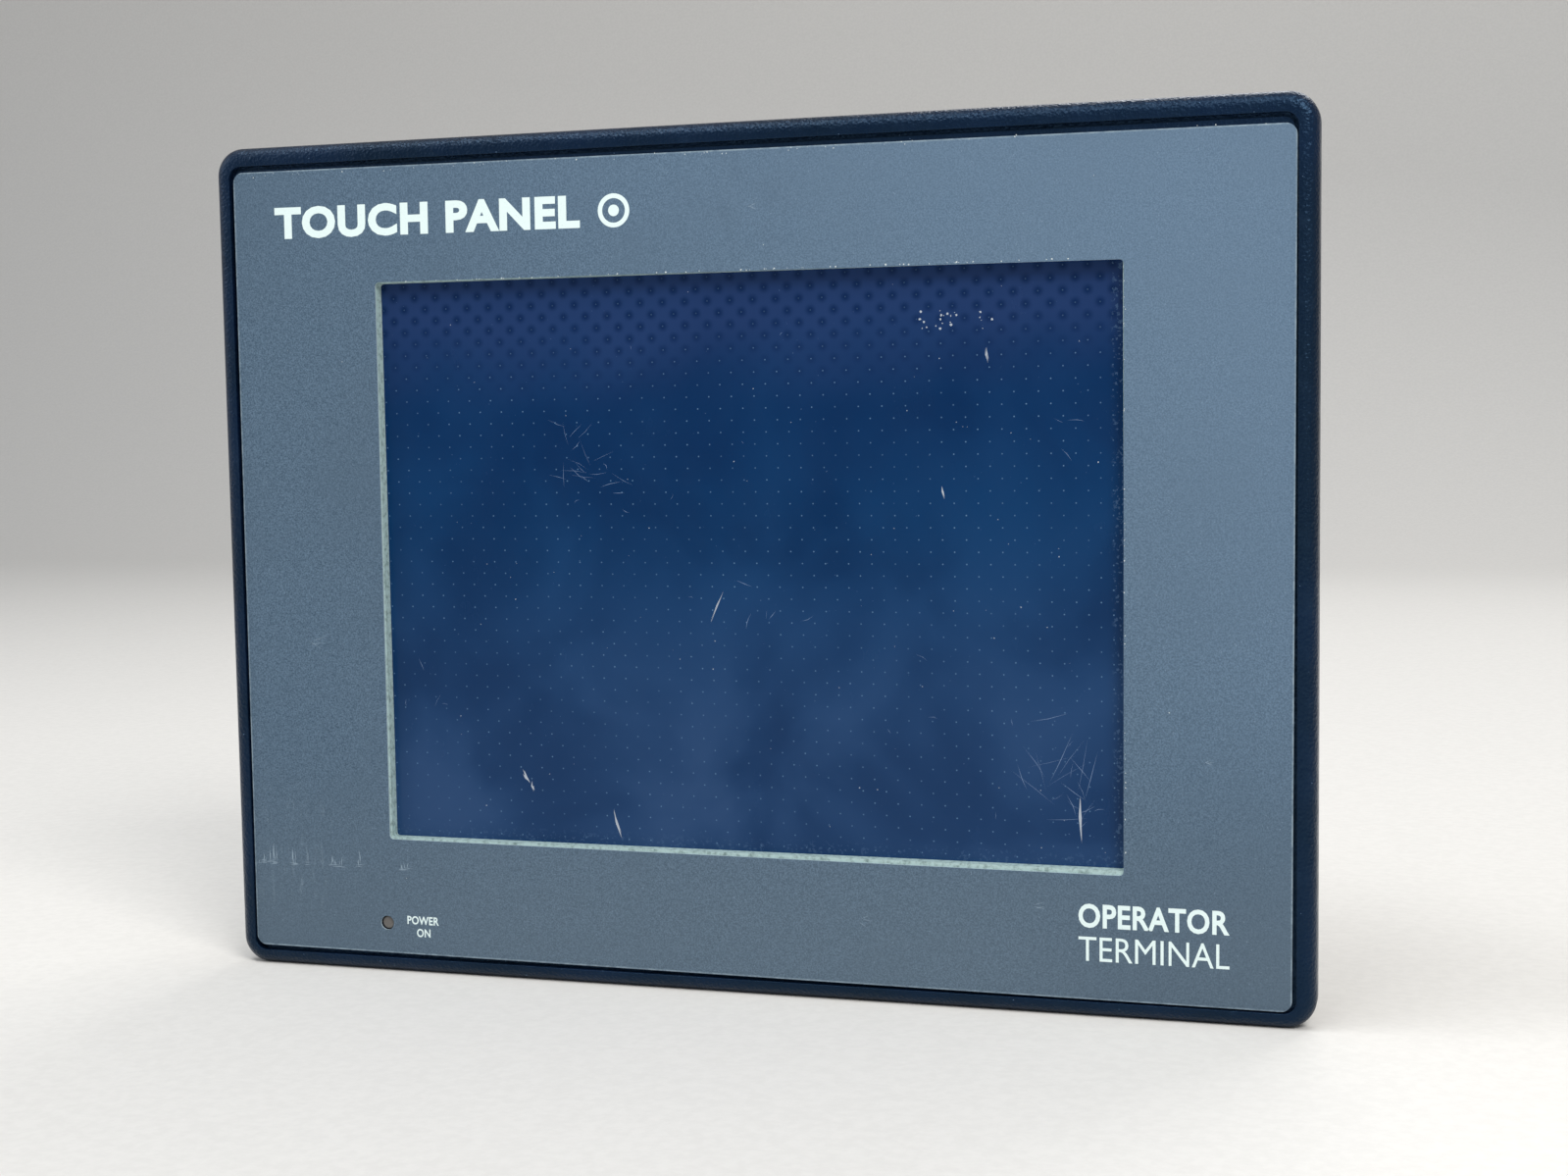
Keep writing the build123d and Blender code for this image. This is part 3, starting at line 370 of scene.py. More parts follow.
def bezel_material():
    """Navy-black moulding with a finely pitted satin skin and a few pale nicks."""
    shade = Shade("bezel_plastic", Specular_IOR_Level=0.39, Specular_Tint=(0.30, 0.60, 1.0, 1.0))
    fine = shade.maths("MULTIPLY", shade.noise(0.6 * MM, 3.0, 0.6), 0.7)
    skin = shade.maths("ADD", fine, shade.cells(0.9 * MM))
    slow = shade.noise(30 * MM, 3.0)
    tone = shade.mix(shade.step(slow, 0.3, 0.7), srgb(3, 14, 30), srgb(7, 21, 43))
    nick = shade.step(shade.noise(1.2 * MM, 2.0, 0.7), 0.752, 0.77)
    tone = shade.mix(nick, tone, srgb(98, 122, 148))
    rub = shade.step(shade.noise(7 * MM, 5.0, 0.7), 0.52, 0.72, 0.0, 0.16)
    tone = shade.mix(rub, tone, srgb(34, 50, 70))
    shade.bump(skin, 0.15 * MM)
    return shade.finish(tone, shade.step(shade.noise(5 * MM, 4.0, 0.6), 0.25, 0.8, 0.26, 0.40))


def overlay_material():
    """Slate blue print with a fine speckle, soft stains and a pale cut edge; painted light makes it paler to
    the upper right and warmer at the bottom, and painted shade darkens its lower corners.
    """
    shade = Shade("overlay_print", Specular_IOR_Level=0.2)
    speckle = shade.noise(0.46 * MM, 2.0, 0.75)
    cloud = shade.noise(42 * MM, 4.0, 0.55)
    tone = shade.mix(shade.step(speckle, 0.30, 0.70), srgb(58, 78, 96), srgb(98, 120, 140))
    stain = shade.maths("MULTIPLY", shade.step(cloud, 0.42, 0.72), 0.35)
    tone = shade.mix(stain, tone, srgb(76, 95, 112))
    # Painted light: the print grows paler towards the upper right.
    rise = shade.maths("ADD", shade.axis("X"), shade.maths("MULTIPLY", shade.axis("Z"), 1.3))
    tone = shade.mix(shade.step(rise, -60 * MM, 260 * MM, 0.0, 0.48), tone, srgb(106, 130, 154))
    # Painted warm light towards the bottom of the overlay.
    painted_warm_light = shade.step(shade.axis("Z"), -50 * MM, -112 * MM, 0.0, 0.3)
    tone = shade.mix(painted_warm_light, tone, srgb(102, 114, 122))
    # Painted shade in the two lower corners.
    for corner_x, share in ((150 * MM, 0.26), (-150 * MM, 0.14)):
        painted_corner_shade = shade.maths("MULTIPLY", shade.spot((corner_x, -115 * MM), 90 * MM), share)
        tone = shade.mix(painted_corner_shade, tone, srgb(62, 78, 92))
    bright = shade.step(shade.noise(0.6 * MM, 1.0, 0.5), 0.72, 0.80, 0.0, 0.4)
    tone = shade.mix(bright, tone, srgb(136, 156, 174))
    smudge = shade.maths("MULTIPLY", shade.spot((6 * MM, 101 * MM), 26 * MM),
                         shade.step(shade.noise(9 * MM, 4.0, 0.6), 0.4, 0.7, 0.0, 0.10))
    tone = shade.mix(smudge, tone, srgb(58, 72, 90))
    rub = shade.noise(2.6 * MM, 5.0, 0.75, shade.stretched((1.6, 1.0, 0.3)))
    corner = shade.spot((-138 * MM, -87 * MM), 26 * MM)
    scuff = shade.maths("MULTIPLY", shade.step(rub, 0.55, 0.72), corner)
    tone = shade.mix(shade.maths("MULTIPLY", scuff, 0.3), tone, srgb(150, 168, 180))
    cos_turn, sin_turn = math.cos(OVERLAY_TURN), math.sin(OVERLAY_TURN)
    across = shade.maths("ABSOLUTE", shade.along((cos_turn, sin_turn), OVERLAY_CENTRE))
    upright = shade.maths("ABSOLUTE", shade.along((-sin_turn, cos_turn), OVERLAY_CENTRE))
    near_side = shade.step(across, OVERLAY_W / 2 - 0.55 * MM, OVERLAY_W / 2 - 0.2 * MM)
    near_end = shade.step(upright, OVERLAY_H / 2 - 0.55 * MM, OVERLAY_H / 2 - 0.2 * MM)
    rim = shade.maths("MULTIPLY", shade.maths("MAXIMUM", near_side, near_end),
                      shade.step(shade.noise(2.4 * MM, 3.0, 0.7), 0.35, 0.65, 0.25, 0.85))
    tone = shade.mix(rim, tone, srgb(140, 158, 170))
    side = shade.step(shade.maths("ABSOLUTE", shade.normal_axis("Y")), 0.7, 0.3)
    tone = shade.mix(side, tone, srgb(164, 180, 188))
    shade.bump(shade.maths("ADD", speckle, shade.maths("MULTIPLY", cloud, 2.0)), 0.03 * MM)
    return shade.finish(tone, shade.step(cloud, 0.3, 0.7, 0.42, 0.52))


def film_material():
    """Navy touch film: staggered pale spacer dots, dark rings on a paler band near the top, haze and dust,
    with painted shade towards the top and painted light on the haze towards the bottom.
    """
    shade = Shade("touch_film", Specular_IOR_Level=0.11)
    near = shade.maths("MINIMUM", shade.dots(0.0), shade.dots(0.5))
    dot = shade.step(near, DOT_R, DOT_R * 0.4)
    sway = shade.maths("MULTIPLY", shade.noise(40 * MM, 2.0), 26 * MM)
    band = shade.step(shade.maths("ADD", shade.axis("Z"), sway), 55 * MM, 84 * MM)
    halo = shade.maths("MULTIPLY", shade.step(near, HALO_R, 0.0), band)
    haze = shade.noise(48 * MM, 3.0, 0.5, distortion=0.4)
    low = shade.step(shade.axis("Z"), 20 * MM, -80 * MM)
    tone = shade.mix(shade.step(haze, 0.3, 0.7), srgb(5, 42, 81), srgb(13, 55, 97))
    # Painted shade: the film grows darker towards the top.
    high = shade.step(shade.axis("Z"), 0.0, 45 * MM, 0.0, 0.35)
    tone = shade.mix(high, tone, srgb(4, 34, 76))
    # Haze, with painted light making it paler towards the bottom.
    haze_and_painted_light = shade.maths("MULTIPLY", low, shade.step(haze, 0.35, 0.7, 0.25, 0.85))
    tone = shade.mix(haze_and_painted_light, tone, srgb(44, 71, 109))
    tone = shade.mix(shade.maths("MULTIPLY", band, 0.8), tone, srgb(33, 55, 98))
    tone = shade.mix(shade.maths("MULTIPLY", halo, 0.95), tone, srgb(5, 32, 72))
    patchy = shade.maths("MULTIPLY", shade.step(shade.noise(20 * MM, 2.0), 0.3, 0.7, 0.45, 0.95),
                         shade.step(band, 0.0, 1.0, 1.0, 0.35))
    tone = shade.mix(shade.maths("MULTIPLY", dot, patchy), tone, srgb(96, 130, 162))
    dust = shade.step(shade.noise(0.9 * MM, 2.0, 0.7), 0.74, 0.77, 0.0, 0.45)
    tone = shade.mix(dust, tone, srgb(104, 132, 164))
    right = shade.step(shade.axis("X"), 104.5 * MM, 106.5 * MM)
    bottom = shade.step(shade.axis("Z"), -76.5 * MM, -80 * MM, 0.0, 0.5)
    edge = shade.maths("MULTIPLY", shade.maths("MAXIMUM", right, bottom),
                       shade.step(shade.noise(0.8 * MM, 1.0, 0.6), 0.58, 0.66, 0.0, 0.5))
    tone = shade.mix(edge, tone, srgb(78, 106, 140))
    smear = shade.noise(9 * MM, 5.0, 0.6, shade.stretched((1.0, 1.0, 0.5), 0.5))
    shade.bump(shade.noise(30 * MM, 1.0), 0.15 * MM)
    return shade.finish(tone, shade.step(smear, 0.3, 0.8, 0.14, 0.30))


def seal_material():
    """Pale grey-green moulding, with patches of grime."""
    shade = Shade("seal_pale", Specular_IOR_Level=0.4)
    grime = shade.noise(1.6 * MM, 5.0, 0.7)
    tone = shade.mix(shade.step(grime, 0.42, 0.75), srgb(172, 196, 194), srgb(104, 124, 122))
    shade.bump(grime, 0.05 * MM)
    return shade.finish(tone, shade.step(grime, 0.3, 0.7, 0.45, 0.65))


def print_material(name, colour, worn):
    """Screen-printed ink, worn thin in small spots."""
    shade = Shade(name, Specular_IOR_Level=0.4)
    thin = shade.noise(0.5 * MM, 3.0, 0.7)
    tone = shade.mix(shade.step(thin, 0.62, 0.8), colour, worn)
    shade.bump(thin, 0.01 * MM)
    return shade.finish(tone, shade.step(thin, 0.3, 0.7, 0.42, 0.55))


def metal(name, colour, dull, rough, brushed=(1, 1, 1), grain=0.5 * MM):
    """Bare or plated metal with a brushed or mottled gloss and dull stains."""
    shade = Shade(name, Metallic=1.0)
    streak = shade.noise(grain, 4.0, 0.6, shade.stretched(brushed))
    stain = shade.noise(7 * MM, 4.0, 0.6)
    tone = shade.mix(shade.step(stain, 0.42, 0.72), colour, dull)
    shade.bump(streak, 0.015 * MM)
    return shade.finish(tone, shade.step(streak, 0.25, 0.75, rough - 0.08, rough + 0.1))


def threaded_steel():
    """Plated screw with a fine thread round its shank, and painted shade that darkens its grooves."""
    shade = Shade("screw_thread", Metallic=1.0)
    out_x = shade.maths("SUBTRACT", shade.maths("ABSOLUTE", shade.axis("X")), CLAMP_X)
    out_z = shade.maths("SUBTRACT", shade.maths("ABSOLUTE", shade.axis("Z")), CLAMP_Z)
    squares = shade.maths("ADD", shade.maths("POWER", out_x, 2.0), shade.maths("POWER", out_z, 2.0))
    away = shade.maths("SQRT", squares)
    shank = shade.step(away, THREAD_R + 0.3 * MM, THREAD_R + 0.1 * MM)
    climb = shade.maths("MULTIPLY", shade.axis("Y"), 2 * math.pi / THREAD_PITCH)
    wave = shade.maths("SINE", shade.maths("ADD", climb, shade.maths("ARCTAN2", out_z, out_x)))
    groove = shade.maths("MULTIPLY", shade.step(wave, 0.4, -0.9), shank)
    stain = shade.step(shade.noise(5 * MM, 4.0, 0.6), 0.4, 0.75)
    tone = shade.mix(stain, srgb(196, 198, 198), srgb(156, 154, 144))
    # Painted shade in the thread's grooves.
    tone = shade.mix(shade.maths("MULTIPLY", groove, 0.7), tone, srgb(66, 66, 66))
    shade.bump(shade.maths("MULTIPLY", groove, -1.0), 0.14 * MM)
    return shade.finish(tone, shade.step(shade.noise(0.5 * MM), 0.3, 0.7, 0.24, 0.38))


def clear_plastic(name, tint, rough, transmission):
    """Clear moulding with faint flow marks."""
    shade = Shade(name, Transmission_Weight=transmission, IOR=1.49)
    flow = shade.noise(8 * MM, 4.0, 0.6, shade.stretched((1, 1, 0.4)))
    shade.bump(flow, 0.06 * MM)
    tone = shade.mix(shade.step(flow, 0.3, 0.7), tint, tuple(c * 0.85 for c in tint[:3]) + (1.0,))
    return shade.finish(tone, shade.step(flow, 0.3, 0.8, rough, rough + 0.12))


def board_material():
    """Green solder mask with darker copper runs under it."""
    shade = Shade("circuit_board", Specular_IOR_Level=0.5)
    runs = shade.cells(2.4 * MM, shade.stretched((1.0, 1.0, 0.2)))
    across = shade.cells(2.4 * MM, shade.stretched((0.2, 1.0, 1.0)))
    trace = shade.step(shade.maths("MINIMUM", runs, across), 0.16, 0.2)
    tone = shade.mix(trace, srgb(58, 120, 70), srgb(22, 74, 42))
    shade.bump(trace, 0.03 * MM)
    return shade.finish(tone, shade.step(shade.noise(6 * MM, 2.0), 0.3, 0.7, 0.3, 0.42))


def film_lead_material():
    """Amber film with copper tracks running along it."""
    shade = Shade("flex_lead")
    wave = shade.add("ShaderNodeTexWave", bands_direction="X", wave_type="BANDS")
    shade.feed(wave.inputs["Vector"], shade.place)
    wave.inputs["Scale"].default_value = 260.0
    track = shade.step(wave.outputs["Fac"], 0.4, 0.6)
    tone = shade.mix(track, srgb(120, 62, 20), srgb(196, 128, 60))
    shade.bump(track, 0.03 * MM)
    return shade.finish(tone, shade.step(shade.noise(4 * MM), 0.3, 0.7, 0.3, 0.45))


def label_material():
    """Silver label stock, creased a little and faintly yellowed."""
    shade = Shade("label_blank", Metallic=0.35)
    crease = shade.noise(12 * MM, 4.0, 0.6)
    tone = shade.mix(shade.step(crease, 0.35, 0.7), srgb(196, 197, 198), srgb(184, 182, 172))
    shade.bump(shade.maths("ADD", crease, shade.noise(0.4 * MM)), 0.05 * MM)
    return shade.finish(tone, shade.step(crease, 0.3, 0.7, 0.38, 0.5))


def build_materials():
    """One finished material for each slot of the record, by its name."""
    black = srgb(30, 32, 36)
    zinc = srgb(196, 199, 202)
    dull_zinc = srgb(150, 152, 152)
    return {
        "bezel_plastic": bezel_material(),
        "overlay_print": overlay_material(),
        "seal_pale": seal_material(),
        "touch_film": film_material(),
        "touch_glass": clear_plastic("touch_glass", srgb(210, 222, 222), 0.04, 0.8),
        "flex_lead": film_lead_material(),
        "lens_clear": clear_plastic("lens_clear", srgb(104, 100, 96), 0.25, 0.0),
        "gasket_rubber": moulded_plastic(
            "gasket_rubber", srgb(24, 24, 25), srgb(46, 46, 47), 0.8 * MM, 0.2 * MM, 0.8),
        "plated_steel": metal("plated_steel", zinc, dull_zinc, 0.34, (1, 1, 0.2)),
        "lcd_glass": clear_plastic("lcd_glass", srgb(40, 44, 52), 0.06, 0.1),
        "clear_acrylic": clear_plastic("clear_acrylic", srgb(225, 230, 230), 0.08, 0.7),
        "lamp_glass": clear_plastic("lamp_glass", srgb(236, 236, 230), 0.2, 0.3),
        "circuit_board": board_material(),
        "chip_black": moulded_plastic(
            "chip_black", srgb(26, 26, 28), srgb(80, 80, 82), 0.25 * MM, 0.03 * MM, 0.5),
        "aluminium": metal("aluminium", srgb(206, 208, 210), srgb(176, 178, 180), 0.36, (1, 0.1, 1)),
        "can_sleeve": moulded_plastic(
            "can_sleeve", srgb(30, 36, 66), srgb(90, 96, 120), 1.2 * MM, 0.02 * MM, 0.28),
        "ferrite": moulded_plastic(
            "ferrite", srgb(44, 42, 42), srgb(90, 88, 86), 0.5 * MM, 0.08 * MM, 0.6),
        "housing_plastic": moulded_plastic(
            "housing_plastic", black, srgb(112, 115, 120), 0.7 * MM, 0.14 * MM, 0.5, 0.75),
        "label_blank": label_material(),
        "screw_steel": metal("screw_steel", zinc, srgb(158, 156, 146), 0.3),
        "terminal_black": moulded_plastic(
            "terminal_black", srgb(28, 28, 30), srgb(90, 90, 92), 0.4 * MM, 0.05 * MM, 0.45),
        "cover_clear": clear_plastic("cover_clear", srgb(222, 228, 230), 0.07, 0.85),
        "insulator_black": moulded_plastic(
            "insulator_black", srgb(24, 24, 26), srgb(80, 80, 82), 0.3 * MM, 0.03 * MM, 0.42),
        "dip_red": moulded_plastic(
            "dip_red", srgb(166, 32, 28), srgb(196, 90, 84), 0.3 * MM, 0.03 * MM, 0.4),
        "knob_white": moulded_plastic(
            "knob_white", srgb(226, 224, 214), srgb(170, 168, 160), 0.3 * MM, 0.02 * MM, 0.4),
        "button_grey": moulded_plastic(
            "button_grey", srgb(128, 130, 132), srgb(176, 178, 180), 0.3 * MM, 0.03 * MM, 0.42),
        "clamp_zinc": metal(
            "clamp_zinc", srgb(150, 150, 148), srgb(116, 114, 108), 0.46, (1, 1, 1), 0.8 * MM),
    }


def dress_frame(finishes):
    """Gives every CAD node the material of its slot, and the clamp screws one with a thread."""
    thread = threaded_steel()
    for part in frame["record"]["subparts"]:
        node = frame["nodes"][part["node"]]
        node.data.materials.clear()
        threaded = part["node"].startswith("clamp_screw")
        node.data.materials.append(thread if threaded else finishes[part["material_slot"]])


# Print on the overlay and on the back

def lettering(name, words, left, base, width, height, y, finish, slot, facing=-1, weight=0.0, turn=0.0):
    """Plain capitals, scaled to a box, as thin closed ink on a face that looks along facing * Y."""
    curve = bpy.data.curves.new(name, "FONT")
    curve.body = words
    curve.offset = weight
    curve.space_character = 1 + 2 * max(weight, 0)
    curve.extrude = 0.5
    curve.resolution_u = 4
    holder = bpy.data.objects.new(name + "_outline", curve)
    bpy.context.scene.collection.objects.link(holder)
    bpy.context.view_layer.update()
    mesh = bpy.data.meshes.new_from_object(holder.evaluated_get(bpy.context.evaluated_depsgraph_get()))
    bpy.data.objects.remove(holder)
    xs = [v.co.x for v in mesh.vertices]
    ys = [v.co.y for v in mesh.vertices]
    scale_x = width / (max(xs) - min(xs))
    scale_z = height / (max(ys) - min(ys))
    low_x, low_y = min(xs), min(ys)
    for vertex in mesh.vertices:
        flat_x = (vertex.co.x - low_x) * scale_x
        x = left + flat_x if facing < 0 else left - flat_x
        depth = y + facing * (PRINT_T if vertex.co.z > 0 else -PRINT_T)
        vertex.co = (x, depth, base + (vertex.co.y - low_y) * scale_z)
    centre = Vector((OVERLAY_CENTRE[0], 0, OVERLAY_CENTRE[1]))
    spin = Matrix.Translation(centre) @ Matrix.Rotation(-turn, 4, "Y") @ Matrix.Translation(-centre)
    mesh.transform(spin)
    bm = bmesh.new()
    bm.from_mesh(mesh)
    bmesh.ops.remove_doubles(bm, verts=bm.verts[:], dist=1e-7)
    bpy.data.meshes.remove(mesh)
    return keep(name, mesh_from(bm, name), "root", finish)


def ring_symbol(name, centre, radius, y, finish):
    """A plain touch symbol: a dot inside a ring."""
    bm = bmesh.new()
    steps = 48
    for inner, outer in ((radius * 0.72, radius), (0.0, radius * 0.34)):
        loops = []
        for depth in (y - PRINT_T, y + PRINT_T):
            for size in (inner, outer):
                if size:
                    loops.append([bm.verts.new((centre[0] + size * math.cos(2 * math.pi * i / steps), depth,
                                                centre[1] + size * math.sin(2 * math.pi * i / steps)))
                                  for i in range(steps)])
        if inner:
            front_in, front_out, back_in, back_out = loops
            bridge(bm, front_in, front_out)
            bridge(bm, back_out, back_in)
            bridge(bm, front_out, back_out)
            bridge(bm, back_in, front_in)
        else:
            front, back = loops
            bm.faces.new(front)
            bm.faces.new(back[::-1])
            bridge(bm, front, back)
    return keep(name, mesh_from(bm, name), "root", finish)


def bridge(bm, first, second):
    """Quads between two rings of the same number of points."""
    count = len(first)
    for i in range(count):
        bm.faces.new((first[i], first[(i + 1) % count], second[(i + 1) % count], second[i]))


def front_print(ink):
    """The overlay's words (what the object is, the light's label, a two-line type) and its touch symbol."""
    shared = {"y": OVERLAY_FRONT, "finish": ink, "slot": "overlay_print", "turn": OVERLAY_TURN}
    for name, words, left, base, width, height, weight in FRONT_WORDS:
        lettering(name, words, left * MM, base * MM, width * MM, height * MM, weight=weight, **shared)
    ring_symbol("touch_symbol", SYMBOL_AT, SYMBOL_R, OVERLAY_FRONT, ink)


# Wear on the screen and the overlay

def sliver(bm, start, end, y, width, proud, body_bend=0.0):
    """A closed tapered scratch from start to end on a face that looks to the front."""
    a = Vector((start[0], y, start[1]))
    b = Vector((end[0], y, end[1]))
    run = b - a
    side = Vector((run.z, 0, -run.x)).normalized()
    middle = a + run * 0.45 + side * body_bend
    crest = middle + Vector((0, -proud, 0))
    points = [bm.verts.new(p) for p in (a, middle + side * width / 2, b, middle - side * width / 2, crest)]
    for i in range(4):
        bm.faces.new((points[i], points[(i + 1) % 4], points[4]))
    bm.faces.new((points[3], points[2], points[1], points[0]))


def speck(bm, rng, centre, y, radius, proud):
    """A closed low chip with an uneven outline."""
    count = 7
    rim = []
    for i in range(count):
        reach = radius * rng.uniform(0.55, 1.2)
        angle = 2 * math.pi * i / count
        at = (centre[0] + reach * math.cos(angle), y, centre[1] + reach * math.sin(angle))
        rim.append(bm.verts.new(at))
    crest = bm.verts.new((centre[0], y - proud, centre[1]))
    for i in range(count):
        bm.faces.new((rim[i], rim[(i + 1) % count], crest))
    bm.faces.new(rim[::-1])


def scatter(bm, rng, count, xs, zs, y, radii, proud):
    """Chips at random places on a face at y, with the ranges and the height in millimetres."""
    for _ in range(count):
        centre = (rng.uniform(*xs) * MM, rng.uniform(*zs) * MM)
        speck(bm, rng, centre, y, rng.uniform(*radii) * MM, proud * MM)


def gouge(bm, rng, start, end, y, width):
    """A ragged mark made of a few tapered strokes side by side."""
    for _ in range(4):
        ends = []
        for x, z in (start, end):
            x_end = x + rng.uniform(-0.3, 0.3) * width
            z_end = z + rng.uniform(-1.2, 1.2) * width
            ends.append((x_end * MM, z_end * MM))
        broad = width * rng.uniform(0.3, 0.6) * MM
        sliver(bm, ends[0], ends[1], y, broad, 0.02 * MM, rng.uniform(-0.1, 0.4) * MM)


def screen_scratches(finish):
    """Scratches: a nest left of the middle, a fan at the lower right, and strays."""
    rng = random.Random(SEED)
    bm = bmesh.new()
    y = FILM_FRONT
    for x, z, spread, count, shortest, longest in SCREEN_NESTS:
        for _ in range(count):
            start = ((x + rng.gauss(0, spread * 0.5)) * MM, (z + rng.gauss(0, spread * 0.5)) * MM)
            angle = rng.uniform(0, math.pi)
            length = rng.uniform(shortest, longest) * MM
            end = (start[0] + length * math.cos(angle), start[1] + length * math.sin(angle))
            if inside_screen(start) and inside_screen(end):
                width = rng.uniform(0.05, 0.13) * MM
                sliver(bm, start, end, y, width, 0.012 * MM, rng.uniform(-0.4, 0.4) * MM)
    return keep("screen_scratches", mesh_from(bm, "screen_scratches"), "root", finish)


def inside_screen(point):
    """Whether a point, given in X and Z, lies on the part of the film that shows."""
    return SCREEN_LOW[0] < point[0] < SCREEN_HIGH[0] and SCREEN_LOW[1] < point[1] < SCREEN_HIGH[1]


def screen_chips(finish):
    """Bright chips: the gouge at the lower right, a cluster at the upper right and single marks."""
    rng = random.Random(SEED + 1)
    bm = bmesh.new()
    y = FILM_FRONT
    for start, end, width in SCREEN_GOUGES:
        gouge(bm, rng, start, end, y, width)
    for _ in range(CHIP_CLUSTER):
        x = (CHIP_CENTRE[0] + rng.gauss(0, CHIP_SPREAD[0])) * MM
        z = (CHIP_CENTRE[1] + rng.gauss(0, CHIP_SPREAD[1])) * MM
        if inside_screen((x, z)):
            speck(bm, rng, (x, z), y, rng.uniform(0.1, 0.42) * MM, 0.03 * MM)
    scatter(bm, rng, 70, (-104, 105), (-78, 78), y, (0.06, 0.2), 0.02)
    return keep("screen_chips", mesh_from(bm, "screen_chips"), "root", finish)


def overlay_chips(finish):
    """Pale crumbs by the window's top and right edges and the overlay's own top edge, and a few strays."""
    rng = random.Random(SEED + 2)
    bm = bmesh.new()
    y = OVERLAY_FRONT
    top, right, high = WINDOW_TOP / MM, WINDOW_RIGHT / MM, OVERLAY_HIGH.z / MM
    scatter(bm, rng, 60, (-104, 104), (top + 0.1, top + 0.35), y, (0.08, 0.28), 0.03)
    scatter(bm, rng, 36, (right + 0.15, right + 0.4), (-78, 76), y, (0.07, 0.2), 0.03)
    scatter(bm, rng, 46, (-146, 146), (high - 0.5, high - 1.6), y, (0.08, 0.22), 0.03)
    scatter(bm, rng, 18, (-148, 148), (-112, 110), y, (0.06, 0.17), 0.015)
    keep_out_of_window(bm)
    return keep("overlay_chips", mesh_from(bm, "overlay_chips"), "root", finish)


def overlay_scuffs(finish):
    """A row of faint upright scuffs that stand on a broken line, by the lower left corner."""
    rng = random.Random(SEED + 3)
    bm = bmesh.new()
    y = OVERLAY_FRONT
    for x, tallest, count, spread in SCUFF_CLUSTERS:
        for _ in range(count):
            left = (x + rng.gauss(0, spread)) * MM
            foot = (SCUFF_Z + rng.uniform(-0.5, 0.5)) * MM
            top = (left + rng.uniform(-0.5, 0.5) * MM, foot + tallest * rng.uniform(0.25, 1.0) * MM)
            width = rng.uniform(0.10, 0.28) * MM
            sliver(bm, (left, foot), top, y, width, 0.008 * MM, rng.uniform(-0.3, 0.3) * MM)
            reach = rng.uniform(0.6, 2.2) * MM
            sliver(bm, (left - 1.2 * MM, foot), (left + reach, foot), y, 0.14 * MM, 0.008 * MM)
    for x, z, reach in FAINT_STRAYS:
        for _ in range(3):
            start = ((x + rng.uniform(-1, 1)) * MM, (z + rng.uniform(-1, 1)) * MM)
            run = reach * rng.uniform(0.6, 1) * MM
            rise = reach * rng.uniform(-0.5, 0.5) * MM
            sliver(bm, start, (start[0] + run, start[1] + rise), y, 0.11 * MM, 0.008 * MM)
    return keep("overlay_scuffs", mesh_from(bm, "overlay_scuffs"), "root", finish)


def keep_out_of_window(bm):
    """Deletes chips whose points hang over the window's opening."""
    low_inset = 5.9 * MM
    high_inset = 5.7 * MM
    left, right = SEAL_LOW.x + low_inset, SEAL_HIGH.x - high_inset
    foot, top = SEAL_LOW.z + low_inset, SEAL_HIGH.z - high_inset
    stray = [v for v in bm.verts if left < v.co.x < right and foot < v.co.z < top]
    linked = set(stray)
    waiting = list(stray)
    while waiting:
        vertex = waiting.pop()
        for edge in vertex.link_edges:
            other = edge.other_vert(vertex)
            if other not in linked:
                linked.add(other)
                waiting.append(other)
    bmesh.ops.delete(bm, geom=list(linked), context="VERTS")


# Back and service details

def back_print(ink, dark_ink):
    """Generic marks by the ports, the terminals, the slide switch and the reset button, and on the label."""
    shared = {"finish": ink, "slot": "housing_plastic", "facing": 1, "weight": 0.01}
    for words, width, x in PORT_MARKS:
        lettering("port_mark_" + words, words, (x + width / 2) * MM, PORT_MARK_Z - PORT_MARK_H / 2 * MM,
                  width * MM, PORT_MARK_H * MM, y=NOTCH_Y, **shared)
    for index, (words, width, height) in enumerate(TERMINAL_MARKS):
        centre = (TERMINAL_X - index * TERMINAL_PITCH, TERMINAL_MARK_Z / MM)
        lettering(f"terminal_mark_{index + 1}", words, (centre[0] + width / 2) * MM,
                  (centre[1] - height / 2) * MM, width * MM, height * MM, y=NOTCH_Y, **shared)
    shared["slot"] = "dip_red"
    for index, (words, width) in enumerate(SWITCH_MARKS):
        x = SWITCH_X + (index - 1.5) * SWITCH_PITCH
        lettering("switch_mark_" + words, words, (x + width / 2) * MM, SWITCH_MARK_Z * MM,
                  width * MM, SWITCH_MARK_H * MM, y=SWITCH_BACK, **shared)
    shared["slot"] = "housing_plastic"
    lettering("reset_mark", "RESET", RESET_MARK_AT[0] * MM, RESET_MARK_AT[1] * MM,
              RESET_MARK_SIZE[0] * MM, RESET_MARK_SIZE[1] * MM, y=BAY_FLOOR, **shared)
    shared.update(finish=dark_ink, slot="label_blank", weight=0.008)
    left = LABEL_HIGH.x - LABEL_MARGIN * MM
    for index, (words, width) in enumerate(LABEL_LINES):
        base = LABEL_HIGH.z - (LABEL_FIRST_LINE + index * LABEL_LINE_STEP) * MM
        lettering(f"label_line_{index + 1}", words, left, base, width * MM, LABEL_LETTER_H * MM,
                  y=LABEL_HIGH.y, **shared)
    label_rules(dark_ink)


